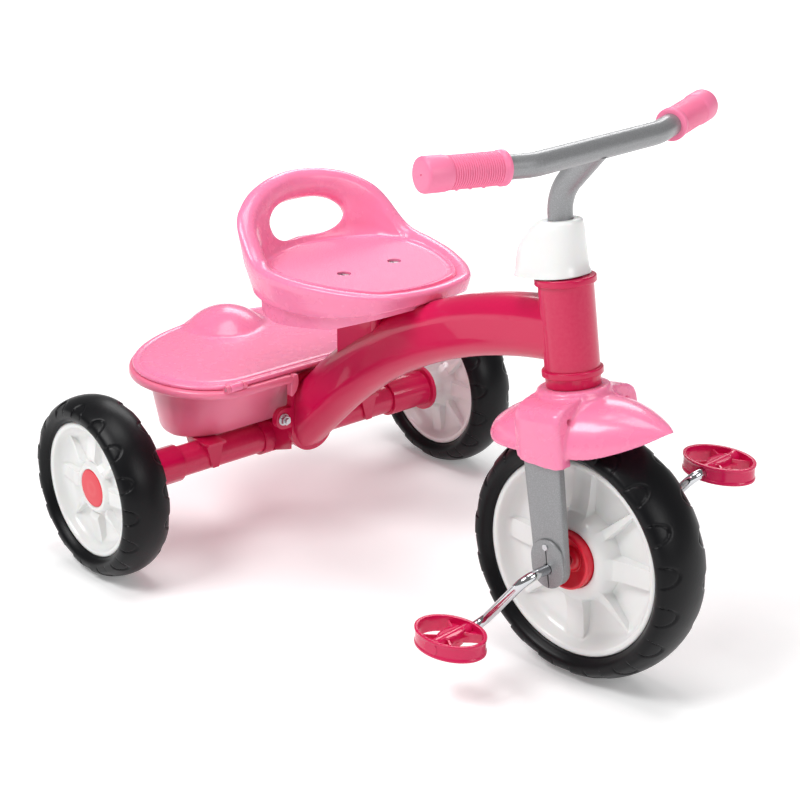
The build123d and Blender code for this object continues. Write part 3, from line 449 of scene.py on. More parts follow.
def flake_group() -> GroupTree:
    """Metal flakes in paint: small cells that differ in shade and tilt."""
    inputs = {"Colour": (0.5, 0.5, 0.5, 1.0), "Bright": (0.8, 0.8, 0.8, 1.0), "Scale": 2400.0, "Amount": 0.5}
    group = GroupTree("paint_flakes", inputs, {"Colour": "NodeSocketColor", "Normal": "NodeSocketVector"})
    given = group.inside.outputs
    cells = group.tree.nodes.new("ShaderNodeTexVoronoi")
    group.link(group.coordinates(), cells.inputs["Vector"])
    group.link(given["Scale"], cells.inputs["Scale"])
    parts = group.tree.nodes.new("ShaderNodeSeparateColor")
    group.link(cells.outputs["Color"], parts.inputs["Color"])
    chance = group.maths("POWER", parts.outputs["Red"], 3.0)
    factor = group.maths("MULTIPLY", chance, given["Amount"])
    group.link(group.mixed(factor, given["Colour"], given["Bright"]), group.outside.inputs["Colour"])
    group.link(group.bump(parts.outputs["Green"], 0.00005, 0.35), group.outside.inputs["Normal"])
    return group


def edge_group() -> GroupTree:
    """A mask of the sharp outer edges, broken up by noise, where a lighter tint is painted on as a highlight."""
    group = GroupTree("edge_rub", {"Low": 0.54, "High": 0.66}, {"Mask": "NodeSocketFloat"})
    given = group.inside.outputs
    shape = group.tree.nodes.new("ShaderNodeNewGeometry")
    # painted highlight: pointiness picks out the convex edges that are made to look lit
    reach = group.tree.nodes.new("ShaderNodeMapRange")
    group.link(shape.outputs["Pointiness"], reach.inputs["Value"])
    group.link(given["Low"], reach.inputs["From Min"])
    group.link(given["High"], reach.inputs["From Max"])
    broken = group.maths("MULTIPLY", reach.outputs["Result"], group.noise(300.0, 4.0).outputs[0])
    group.link(broken, group.outside.inputs["Mask"])
    return group


GROUPS: dict[str, GroupTree] = {}


def group_named(name: str) -> bpy.types.ShaderNodeTree:
    """One of the shared groups, built the first time it is asked for."""
    makers = {"skin": surface_group, "grain": grain_group, "flake": flake_group, "edge": edge_group}
    if name not in GROUPS:
        GROUPS[name] = makers[name]()
    return GROUPS[name].tree


# --- finishes ----------------------------------------------------------------
Colour = tuple[float, float, float]


def shade(colour: Colour, share: float) -> tuple[float, float, float, float]:
    """A colour made darker or lighter by a share, with full alpha."""
    return (colour[0] * share, colour[1] * share, colour[2] * share, 1.0)


@dataclass(frozen=True)
class Finish:
    """A surface finish, and the shader values that stay the same all over it."""

    name: str
    colour: Colour
    roughness: float
    metallic: float = 0.0
    coat: float = 0.0
    coat_roughness: float = 0.08
    ior: float = 1.5
    peel: float = 0.2
    smudge: float = 0.08
    drift: float = 0.25
    deep: float = 0.86
    # strength and tint of the painted highlight laid on sharp edges
    rub: float = 0.15
    rub_colour: Colour = (0.9, 0.9, 0.9)
    grain: float = 0.0
    grain_scale: float = 900.0
    flakes: float = 0.0
    glow_through: float = 0.0

    def material(self) -> bpy.types.Material:
        """The finish as a Blender material, made once."""
        made = bpy.data.materials.get(self.name)
        return made or self.build()

    def build(self) -> bpy.types.Material:
        """Builds the node tree of the finish."""
        made = bpy.data.materials.new(self.name)
        made.use_nodes = True
        tree = made.node_tree
        shader = tree.nodes["Principled BSDF"]
        for label, value in self.constants().items():
            shader.inputs[label].default_value = value
        skin_node = self.placed(tree, "skin", {
            "Colour": shade(self.colour, 1.0), "Deep colour": shade(self.colour, self.deep),
            "Drift": self.drift,
            "Roughness": self.roughness, "Smudge": self.smudge, "Peel": self.peel,
        })
        tree.links.new(skin_node.outputs["Roughness"], shader.inputs["Roughness"])
        colour, normal = skin_node.outputs["Colour"], skin_node.outputs["Normal"]
        if self.flakes:
            flakes = self.placed(tree, "flake", {"Bright": shade(self.colour, 1.9), "Amount": self.flakes})
            tree.links.new(colour, flakes.inputs["Colour"])
            colour, normal = flakes.outputs["Colour"], flakes.outputs["Normal"]
        if self.grain:
            grain = self.placed(tree, "grain", {"Strength": self.grain, "Scale": self.grain_scale})
            normal = grain.outputs["Normal"]
        # painted highlight: a lighter tint is mixed into the colour along sharp edges
        edge = self.placed(tree, "edge", {})
        mix = tree.nodes.new("ShaderNodeMix")
        mix.data_type = "RGBA"
        amount = tree.nodes.new("ShaderNodeMath")
        amount.operation = "MULTIPLY"
        amount.inputs[1].default_value = self.rub
        tree.links.new(edge.outputs["Mask"], amount.inputs[0])
        tree.links.new(amount.outputs[0], mix.inputs["Factor"])
        tree.links.new(colour, mix.inputs["A"])
        mix.inputs["B"].default_value = shade(self.rub_colour, 1.0)
        tree.links.new(mix.outputs["Result"], shader.inputs["Base Color"])
        tree.links.new(normal, shader.inputs["Normal"])
        return made

    def constants(self) -> dict[str, float]:
        """The shader values that are the same all over."""
        return {
            "Metallic": self.metallic,
            "IOR": self.ior,
            "Coat Weight": self.coat,
            "Coat Roughness": self.coat_roughness,
            "Subsurface Weight": self.glow_through,
            "Subsurface Scale": 0.004,
        }

    @staticmethod
    def placed(tree: Nodes, name: str, values: dict[str, float | tuple]) -> bpy.types.Node:
        """Places a shared group in a material with its own values."""
        node = tree.nodes.new("ShaderNodeGroup")
        node.node_tree = group_named(name)
        for label, value in values.items():
            node.inputs[label].default_value = value
        return node


# each finish below also sets how strong its painted edge highlight is and what lighter tint it uses
PINK = Finish("pink_gloss_plastic", (0.93, 0.235, 0.42), 0.27, coat=0.25, peel=0.07, drift=0.12,
              glow_through=0.12, rub=0.04)
PINK_GRAIN = Finish("pink_grained_plastic", (0.93, 0.25, 0.43), 0.42, grain=1.0, grain_scale=560.0, rub=0.05)
PINK_BIN = Finish("pink_bin_plastic", (0.86, 0.2, 0.33), 0.3, coat=0.15, peel=0.07, glow_through=0.15,
                  rub=0.04)
PINK_GRIP = Finish("pink_soft_grip", (0.88, 0.2, 0.36), 0.42, grain=0.12, grain_scale=1600.0, rub=0.08)
CRIMSON_PAINT = Finish(
    "crimson_gloss_enamel", (0.6, 0.002, 0.07), 0.3, coat=0.45, ior=1.35, coat_roughness=0.05, peel=0.25,
    rub=0.12,
    rub_colour=(0.95, 0.25, 0.35), deep=0.8,
)
CRIMSON = Finish("crimson_gloss_plastic", (0.66, 0.004, 0.085), 0.24, coat=0.3, ior=1.4, rub=0.25,
                 rub_colour=(1.0, 0.3, 0.42))
HUB_RED = Finish("hub_red_plastic", (0.78, 0.004, 0.03), 0.3, coat=0.2, rub=0.1)
WHITE = Finish("white_gloss_plastic", (0.83, 0.83, 0.82), 0.3, coat=0.3, glow_through=0.1, rub=0.0, deep=0.96)
TYRE = Finish("black_satin_tyre", (0.005, 0.005, 0.006), 0.36, ior=1.28, peel=0.5, smudge=0.16, rub=0.1,
              deep=0.6,
              rub_colour=(0.2, 0.2, 0.2))
SILVER = Finish("silver_flake_paint", (0.26, 0.263, 0.27), 0.42, metallic=0.5, coat=0.3, flakes=0.4, rub=0.08)
CHROME = Finish("polished_chrome", (0.62, 0.63, 0.65), 0.13, metallic=1.0, peel=0.08, smudge=0.08, rub=0.0)
ZINC = Finish("zinc_plated_steel", (0.55, 0.56, 0.58), 0.3, metallic=1.0, peel=0.3, smudge=0.2, rub=0.1)
NYLON = Finish("natural_nylon", (0.72, 0.7, 0.62), 0.5, glow_through=0.2, rub=0.0)
SLOT_FINISH = {
    Slot.PINK: PINK, Slot.CRIMSON_PAINT: CRIMSON_PAINT, Slot.CRIMSON: CRIMSON, Slot.WHITE: WHITE,
    Slot.TYRE: TYRE,
    Slot.SILVER: SILVER, Slot.CHROME: CHROME, Slot.ZINC: ZINC, Slot.NYLON: NYLON,
}


# --- pieces ------------------------------------------------------------------
@dataclass
class Maker:
    """What every sub-assembly shares: its place, its CAD body, and how a shell becomes a piece."""

    axes: Axes
    body: str

    def piece(
        self, name: str, shell: Shell, slot: Slot, finishes: tuple[Finish, ...],
        replaces: tuple[str, ...] = (), sharp: float = PLAIN_CREASE,
    ) -> bpy.types.Object:
        """Turns a shell into a shown piece that rides on the body.

        Args:
            name: The piece's name.
            shell: Its skins, in this maker's axes and in millimetres.
            slot: The record's material slot; not used.
            finishes: One finish for each finish number in the shell.
            replaces: The CAD nodes that the piece stands for.
            sharp: Edges that turn by more than this angle stay crisp.

        Returns:
            The new object.
        """
        mesh = bpy.data.meshes.new(name)
        points = self.axes.place(np.vstack(shell.points))
        mesh.from_pydata(points.tolist(), [], shell.faces)
        mesh.polygons.foreach_set("material_index", shell.finishes)
        tidy = bmesh.new()
        tidy.from_mesh(mesh)
        bmesh.ops.recalc_face_normals(tidy, faces=tidy.faces)
        tidy.to_mesh(mesh)
        tidy.free()
        mesh.polygons.foreach_set("use_smooth", [True] * len(mesh.polygons))
        mesh.set_sharp_from_angle(angle=math.radians(sharp))
        made = bpy.data.objects.new(name, mesh)
        bpy.context.scene.collection.objects.link(made)
        for finish in finishes:
            mesh.materials.append(finish.material())
        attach(made, self.body)
        if replaces:
            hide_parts(*replaces)
        LOG.info("%s: %d faces on %s", name, len(mesh.polygons), self.body)
        return made


def cut_with(piece: bpy.types.Object, cutters: list[bpy.types.Object]) -> None:
    """Cuts closed shapes out of a piece, and removes the cutters."""
    for cutter in cutters:
        modifier = piece.modifiers.new("cut", "BOOLEAN")
        modifier.operation = "DIFFERENCE"
        modifier.object = cutter
        modifier.solver = "EXACT"
        bpy.context.view_layer.objects.active = piece
        bpy.ops.object.modifier_apply(modifier=modifier.name)
        bpy.data.objects.remove(cutter)


def loose_object(name: str, shell: Shell, axes: Axes) -> bpy.types.Object:
    """A shell as an object that is only used to cut another."""
    mesh = bpy.data.meshes.new(name)
    mesh.from_pydata(axes.place(np.vstack(shell.points)).tolist(), [], shell.faces)
    tidy = bmesh.new()
    tidy.from_mesh(mesh)
    bmesh.ops.recalc_face_normals(tidy, faces=tidy.faces)
    tidy.to_mesh(mesh)
    tidy.free()
    made = bpy.data.objects.new(name, mesh)
    bpy.context.scene.collection.objects.link(made)
    return made


def beam_space(gap: float, start: float, end: float) -> Shell:
    """The room that the backbone takes between two places, with a gap round it, in chassis axes."""
    base = chassis_axes().origin
    points = np.array([v.co for v in frame["nodes"]["backbone_tube"].data.vertices]) / MM - base
    wide = float(np.abs(points[:, 1]).max()) + gap
    line = points[np.abs(points[:, 1]) < 6]
    middle = np.polyfit(line[:, 0], line[:, 2], 3)
    upper = line[line[:, 2] > np.polyval(middle, line[:, 0]) + 20]
    upper = upper[np.argsort(upper[:, 0])]
    turn = np.linspace(0, math.pi, 25)
    rings = []
    for x in np.linspace(start, end, 42):
        top = np.interp(x, upper[:, 0], upper[:, 2]) + gap
        y = wide * np.sign(np.cos(turn)) * np.abs(np.cos(turn)) ** 0.75
        z = top - 30 + 30 * np.abs(np.sin(turn)) ** 0.75
        rings.append(np.column_stack([np.full(27, x), [wide, *y, -wide], [top - 75, *z, top - 75]]))
    return skin(np.array(rings))


@dataclass
class Wheel(Maker):
    """A wheel about local Y: a tyre with thumb-shaped treads and a dished, spoked disc."""

    name: str = ""
    radius: float = 127.0
    seat: float = 100.4
    half: float = 34.0
    disc_half: float = 25.0
    web: float = 8.0
    treads: int = 18
    spokes: int = 8
    hub_out: tuple[tuple[float, float], ...] = ()
    tread_reach: float = 25.0
    tread_half: float = 12.5
    tread_depth: float = 1.7
    tread_foot: float = 41.0

    def crown(self) -> np.ndarray:
        """The tyre's outer section from one bead to the other, as (radius, along Y)."""
        height = self.radius - self.seat
        side = [
            (self.seat + 0.04 * height, self.disc_half + 0.6),
            (self.seat + 0.1 * height, self.disc_half + 3.2),
            (self.seat + 0.24 * height, 0.955 * self.half),
            (self.seat + 0.42 * height, self.half - 0.1),
            (self.radius - 0.36 * height, 0.93 * self.half),
            (self.radius - 0.16 * height, 0.68 * self.half),
            (self.radius - 0.04 * height, 0.36 * self.half),
        ]
        other = [(r, -y) for r, y in side[::-1]]
        return flow(np.array(side + [(self.radius, 0.0)] + other), 7)

    def tread(self, turn: np.ndarray, along: np.ndarray) -> np.ndarray:
        """How deep the treads are at each angle and distance from the crown line."""
        depth = np.zeros(np.broadcast(turn, along).shape)
        pitch = 2 * math.pi / self.treads
        for sign, offset in ((1, 0.0), (-1, pitch / 2)):
            across = sign * along
            near = (turn - offset + pitch / 2) % pitch - pitch / 2
            u = near * self.radius / self.tread_half
            v = (across - self.tread_foot) / self.tread_reach
            edge = np.hypot(u, v)
            inside = 1 - smooth_step(edge, 0.86, 1.0)
            slope = 0.25 + 0.55 * (u + 1) / 2
            rim = 0.5 * np.exp(-(((edge - 0.9) / 0.06) ** 2))
            fade = 1 - smooth_step(across, self.tread_foot - 6, self.tread_foot + 2)
            depth += self.tread_depth * (inside * slope + rim) * fade * (across > 0)
        return depth

    def tyre(self) -> bpy.types.Object:
        """The tyre, with its treads in the mesh."""
        outer = self.crown()
        steps = np.linalg.norm(np.diff(outer, axis=0), axis=1)
        along = np.concatenate([[0], np.cumsum(steps)])
        along = along[-1] / 2 - along
        slope = np.gradient(outer, axis=0)
        normal = np.column_stack([-slope[:, 1], slope[:, 0]])
        normal /= np.linalg.norm(normal, axis=1)[:, None]
        turn = np.arange(int(2 * math.pi * self.radius / 1.15)) * 1.15 / self.radius
        turn = np.linspace(0, 2 * math.pi, len(turn), endpoint=False)
        depth = self.tread(turn[None, :], along[:, None])
        radius = outer[:, :1] - depth * normal[:, :1]
        across = outer[:, 1:] - depth * normal[:, 1:]
        rings = np.stack([radius * np.cos(turn), across + 0 * turn, radius * np.sin(turn)], axis=-1)
        seat = [(self.seat + 0.05, -self.disc_half), (self.seat + 0.05, self.disc_half)]
        closing = [np.stack([r * np.cos(turn), y + 0 * turn, r * np.sin(turn)], axis=-1) for r, y in seat]
        rings = np.concatenate([rings, np.array(closing)])
        return self.piece(f"tread_{self.name}_tyre", skin(rings, True), Slot.TYRE, (TYRE,),
                          (f"{self.name_node('tyre')}",))

    def name_node(self, part: str) -> str:
        """The CAD node of the wheel's tyre or rim."""
        if self.name == "front":
            return f"front_{part}"
        place, side = self.name.split("_")
        return f"{place}_{part}_{side}"

    def columns(self, radius: float) -> tuple[np.ndarray, np.ndarray]:
        """Where the disc's columns stand at a radius.

        Args:
            radius: The ring's radius.

        Returns:
            The angles round the ring, and how far each column belongs to a spoke.
        """
        angles, masks = [], []
        pitch = 2 * math.pi / self.spokes
        for k in range(self.spokes):
            broad = k % 2 == 0
            share = (self.seat - radius) / self.seat
            width = self.seat * (0.095 + 0.02 * share if broad else 0.008 + 0.07 * share)
            offsets = np.array([-width - 1.6, -width - 0.5, -width, -width / 2, 0, width / 2, width,
                                width + 0.5, width + 1.6])
            here = np.arcsin(np.clip(offsets / radius, -0.9, 0.9)) + k * pitch
            nxt = self.seat * (0.008 + 0.07 * share if broad else 0.095 + 0.02 * share)
            following = (k + 1) * pitch - math.asin(min((nxt + 1.6) / radius, 0.9))
            gap = np.linspace(here[-1], following, 11)[1:-1]
            angles += [*here, *gap]
            masks += [0, 0.35, 0.93, 1, 1, 1, 0.93, 0.35, 0] + [0] * len(gap)
        return np.array(angles), np.array(masks)

    def face(self, hub: tuple[tuple[float, float], ...], sign: float) -> list[np.ndarray]:
        """One face of the disc, from the bore out to the lip, as rings of points."""
        inner = self.seat - 7.5
        last = hub[-1][0]
        edge, wall = self.disc_half, self.disc_half - self.web
        web = [(last + 2.5, self.web + 1.2), (last + 5, self.web)]
        for share in (0.2, 0.4, 0.6, 0.8, 1.0):
            web.append((last + 5 + share * (inner - last - 5 - 0.9 * wall), self.web))
        for t in (0.25, 0.5, 0.7, 0.85, 0.95):
            web.append((inner - 0.9 * wall * (1 - t), self.web + 0.8 * wall * (1 - math.sqrt(1 - t * t))))
        lip = [(inner + 0.6, edge - 3.0), (inner + 1.4, edge - 1.0), (inner + 2.8, edge - 0.1),
               (inner + 5.4, edge)]
        lip += [(self.seat - 0.5, edge - 0.4), (self.seat, edge - 1.2)]
        rings = []
        for radius, level in [*hub, *web, *lip]:
            angle, mask = self.columns(max(radius, last))
            ends = [last, last + 6, 0.6 * inner, 0.84 * inner, 0.97 * inner]
            top = np.interp(radius, ends, [hub[-1][1], *(self.web + wall * np.array([0.62, 0.5, 0.34, 0.3]))])
            spoked = last < radius < inner - 1
            height = level + (max(top - level, 0) * mask if spoked else 0 * mask)
            rings.append(np.stack([radius * np.cos(angle), sign * height, radius * np.sin(angle)], axis=-1))
        return rings

    def disc(self, slot_node: str, hub_in: tuple[tuple[float, float], ...]) -> bpy.types.Object:
        """The white disc with its spokes on both faces."""
        rings = self.face(self.hub_out, 1.0) + self.face(hub_in, -1.0)[::-1]
        return self.piece(f"spoked_{self.name}_disc", skin(np.array(rings), True), Slot.WHITE, (WHITE,),
                          (slot_node,), MOULDED_CREASE)


@dataclass
class HubCup(Maker):
    """The red cup round the crank on one side of the front wheel."""

    side: Side = Side.LEFT
    radius: float = 29.0
    foot: float = 20.0
    mouth: float = 36.0
    floor: float = 25.0
    bore: float = 5.0

    def build(self) -> bpy.types.Object:
        """The cup with a rolled lip, a conical inside and a boss round the rod."""
        corners = [
            (self.bore, self.foot), (self.radius, self.foot), (self.radius, self.mouth - 1),
            (self.radius - 2.6, self.mouth),
            (self.radius - 4, self.mouth - 1.5), (self.bore + 8, self.floor),
            (self.bore + 7, self.floor + 2.5),
            (self.bore + 4, self.floor + 4.5), (self.bore, self.floor + 4.5),
        ]
        profile = eased(corners, 1.2, 4, closed=True)
        profile[:, 1] *= self.side.value
        name = f"hub_cup_{self.side.word}"
        return self.piece(f"conical_{name}", lathe(profile), Slot.CRIMSON, (HUB_RED,), (name,))


@dataclass
class HubCap(Maker):
    """The flat red cap on the outside of a rear wheel."""

    side: Side = Side.LEFT
    radius: float = 21.0
    low: float = 5.0
    high: float = 14.0

    def build(self) -> bpy.types.Object:
        """A shallow cap with an eased rim and a barely crowned face."""
        top = [(self.radius * s, self.high - 0.5 * s * s) for s in (0.0001, 0.35, 0.65, 0.88)]
        side = [(self.radius - 0.9, self.high - 0.6), (self.radius, self.high - 1.6), (self.radius, self.low)]
        inside = [(self.radius - 2.5, self.low), (self.radius - 2.5, self.high - 3),
                  (0.0001, self.high - 2.6)]
        profile = np.array(top + side + inside)
        profile[:, 1] *= self.side.value
        name = f"rear_hub_cap_{self.side.word}"
        return self.piece(f"flat_{name}", lathe(profile), Slot.CRIMSON, (HUB_RED,), (name,))


@dataclass
class Seat(Maker):
    """The moulded seat: a grained pan, a rolled rim that swells into a back loop, and a skirt."""

    level: float = 335.0
    half: float = 110.0
    rear: float = 27.0
    front: float = 266.0
    per_span: int = 16
    open_half: float = 60.0
    open_middle: float = 364.0
    open_rise: float = 23.5
    screw_x: float = 157.0
    screw_out: float = 34.0
    recess: float = 7.5
    shares: tuple[tuple[float, float], ...] = (
        (0.0, 0.0), (0.03, 0.36), (0.085, 0.67), (0.17, 0.885), (0.35, 1.0), (0.55, 0.965), (0.72, 0.845),
        (0.86, 0.685), (0.955, 0.47), (1.0, 0.0),
    )
    foot: tuple[tuple[float, float], ...] = ((27, 302), (160, 302), (203, 305), (246, 315), (266, 322))
    skirt: tuple[tuple[float, float], ...] = ((27, 282), (118, 282), (199, 291), (250, 308), (266, 314))
    lean: tuple[tuple[float, float], ...] = ((302, 9), (316, 5.5), (336, 0), (358, -3), (372, -5.5),
                                             (384, -7), (414, -8))
    crest: tuple[tuple[float, float], ...] = (
        (27, 412), (33, 409.5), (40, 404), (48, 396), (55, 388.5), (62, 380.5), (69, 372.5), (79, 361),
        (88, 352),
        (97, 346), (110, 342.5), (130, 341), (150, 339.5), (200, 338), (240, 337.5), (266, 337),
    )

    def outline(self, inset: float | np.ndarray) -> np.ndarray:
        """The plan outline moved in by an inset, as (x, y) from the rear round by the left."""
        length, middle = self.front - self.rear, (self.front + self.rear) / 2
        left = [(self.rear + a * length, b * self.half) for a, b in self.shares]
        right = [(x, -y) for x, y in left[-2:0:-1]]
        plan = flow(np.array(left + right), self.per_span, closed=True)
        x = middle + (plan[:, 0] - middle) * (length - 2 * inset) / length
        return np.column_stack([x, plan[:, 1] * (self.half - inset) / self.half])

    @staticmethod
    def along(table: tuple[tuple[float, float], ...], at: np.ndarray) -> np.ndarray:
        """Values read from a table of (place, value) pairs, softened between them."""
        pairs = np.array(table)
        return np.interp(at, pairs[:, 0], pairs[:, 1])

    def heights(self) -> np.ndarray:
        """The height of the rim's crest round the outline."""
        tops = self.along(self.crest, self.outline(0)[:, 0])
        for _ in range(6):
            tops = (np.roll(tops, 1) + 2 * tops + np.roll(tops, -1)) / 4
        return tops

    def opening(self) -> tuple[np.ndarray, np.ndarray]:
        """Half the height of the hand opening at each column, and which columns it spans."""
        plan = self.outline(0)
        share = np.clip(np.abs(plan[:, 1]) / self.open_half, 0, 1)
        spans = (np.abs(plan[:, 1]) < self.open_half) & (plan[:, 0] < 90)
        rise = np.where(spans, self.open_rise * (1 - share**3.2) ** 0.55, 0.0)
        return np.maximum(rise, 1.0), spans

    def build(self) -> bpy.types.Object:
        """The seat as one closed skin with the hand opening through its back."""
        top = self.heights()
        rise, spans = self.opening()
        flat = np.ones_like(top)
        ring_x = self.outline(0)[:, 0]
        skirt, foot = self.along(self.skirt, ring_x), self.along(self.foot, ring_x)
        under = self.level - 4
        rows: list[tuple[float, np.ndarray]] = [
            (23.0, under * flat), (19.6, (under - 1.5) * flat), (19.5, skirt + 1), (18.6, skirt),
            (16.6, skirt),
            (16.0, skirt + 0.9), (15.8, foot - 1.2), (14.8, foot),
        ]
        rows += [(np.minimum(self.along(self.lean, foot) + inset, 14.0), foot + up)
                 for inset, up in ((3.0, 0), (0.9, 0.6))]
        low = foot + 2.6
        rows += [(0.0, low)]
        plain = len(rows) - 1
        middle = np.minimum(self.open_middle, low + 0.5 * (top - 4 - low))
        reach = np.minimum(rise, 0.46 * (top - 4 - low))
        outer_low, outer_high = middle - reach, middle + reach
        rows += [(0.0, (low + outer_low) / 2), (0.0, outer_low)]
        outer_row = len(rows) - 1
        rows += [(0.0, outer_high), (0.0, (outer_high + top - 5) / 2), (0.3, top - 5), (1.3, top - 2.6),
                 (3.4, top - 0.9)]
        rows += [(6.0, top - 0.1), (8.6, top), (11.4, top - 0.7), (14.0, top - 2.2), (16.2, top - 4.4)]
        base = self.level + 0.9
        wall_top = np.maximum(top - 7.5, base + 0.6)
        middle = np.minimum(self.open_middle, base + 0.5 * (wall_top - base))
        reach = np.minimum(rise, 0.46 * (wall_top - base))
        inner_low, inner_high = middle - reach, middle + reach
        rows += [(17.8, wall_top), (18.4, (wall_top + inner_high) / 2), (18.8, inner_high)]
        inner_row = len(rows) - 1
        rows += [(19.2, inner_low), (19.8, (inner_low + base) / 2), (20.6, base * flat + 0.5),
                 (21.8, base * flat - 0.55)]
        rows += [(23.4, self.level * flat), (26.0, (self.level - 0.25) * flat)]
        pan_row = len(rows) - 1
        rings = []
        for index, (inset, z) in enumerate(rows):
            shift = self.along(self.lean, z) * (plain <= index <= inner_row + 2)
            rings.append(np.column_stack([self.outline(inset + shift), z]))
        centre = np.array([145.0, 0.0])
        edge = self.outline(26.0)
        below = self.outline(23.0)
        for share in (0.85, 0.7, 0.55, 0.4, 0.25, 0.1):
            rings.append(np.column_stack([centre + (edge - centre) * share,
                                          (self.level - 0.25 - 1.4 * (1 - share**2)) * flat]))
        start = [np.column_stack([centre + (below - centre) * share, under * flat]) for share in (0.1, 0.5)]
        rings = np.array(start + rings)
        shell = self.opened(skin(rings), rings, spans, outer_row + 2, inner_row + 2, pan_row + 2)
        shell = joined(shell, *self.bosses())
        made = self.piece("moulded_seat", shell, Slot.PINK, (PINK, PINK_GRAIN), ("seat",), MOULDED_CREASE)
        cutters = []
        for side in Side:
            hole = np.array([(0.001, 329.0), (self.recess, 329.0), (self.recess, 339.0), (0.001, 339.0)])
            place = self.upright(self.screw_x, side.value * self.screw_out)
            cutters.append(loose_object("recess", lathe(hole, SMALL_ROUND_STEPS, wrap=False), place))
        cutters.append(loose_object("beam_space", beam_space(1.2, 95.0, 300.0), self.axes))
        cut_with(made, cutters)
        return made

    def upright(self, x: float, y: float) -> Axes:
        """Axes at a plan point whose Y points up."""
        return self.axes.moved(x, y, 0).turned(((1, 0, 0), (0, 0, 1), (0, -1, 0)))

    def bosses(self) -> list[Shell]:
        """The two hollow bosses under the pan that take the screws."""
        profile = eased([(3.2, 322), (11, 322), (11, 330.8), (7.6, 330.8), (7.6, 328), (3.2, 328)], 0.5, 2,
                        closed=True)
        shells = []
        for side in Side:
            place = self.upright(self.screw_x, side.value * self.screw_out)
            shells.append(shifted(lathe(profile, SMALL_ROUND_STEPS), place, self.axes))
        return shells

    def opened(
        self, shell: Shell, rings: np.ndarray, spans: np.ndarray, outer: int, inner: int, pan: int
    ) -> Shell:
        """Opens the hand hole between two rows of both walls, and lines it.

        Args:
            shell: The closed skin.
            rings: The skin's rings.
            spans: The columns that the opening crosses.
            outer: The outer wall's ring at the hole's lower edge.
            inner: The inner wall's ring at the hole's upper edge.
            pan: The first ring of the grained pan.

        Returns:
            The skin with the hole, its lining, and the pan's finish number set.
        """
        count = rings.shape[1]
        inside = [c for c in range(count) if spans[c] and spans[(c + 1) % count]]
        inside = sorted(inside, key=lambda c: (c + count // 2) % count)
        gone = {(outer, c) for c in inside} | {(inner, c) for c in inside}
        faces, finishes = [], []
        for index, face in enumerate(shell.faces):
            row, column = divmod(index, count)
            if (row, column) in gone:
                continue
            faces.append(face)
            on_pan = row >= pan and index < (len(rings) - 1) * count
            finishes.append(1 if on_pan or index == len(shell.faces) - 1 else 0)
        columns = inside + [(inside[-1] + 1) % count]
        loop_out = [(outer, c) for c in columns] + [(outer + 1, c) for c in columns[::-1]]
        loop_in = [(inner + 1, c) for c in columns] + [(inner, c) for c in columns[::-1]]
        first = np.array([rings[r, c] for r, c in loop_out])
        last = np.array([rings[r, c] for r, c in loop_in])
        heart = (first.mean(0) + last.mean(0)) / 2
        extra, start = [], rings.shape[0] * count
        for share, draw in ((0.06, 1.2), (0.2, 2.6), (0.5, 3.4), (0.8, 2.6), (0.94, 1.2)):
            ring = first + (last - first) * share
            pull = heart - ring
            pull[:, 0] = 0
            ring = ring + pull / np.linalg.norm(pull, axis=1)[:, None] * draw
            extra.append(ring)
        size = len(loop_out)
        number = [[r * count + c for r, c in loop_out]]
        number += [[start + k * size + i for i in range(size)] for k in range(len(extra))]
        number.append([r * count + c for r, c in loop_in])
        for near, far in zip(number, number[1:]):
            for i in range(size):
                j = (i + 1) % size
                faces.append((near[i], near[j], far[j], far[i]))
                finishes.append(0)
        return Shell([shell.points[0], np.vstack(extra)], faces, finishes)


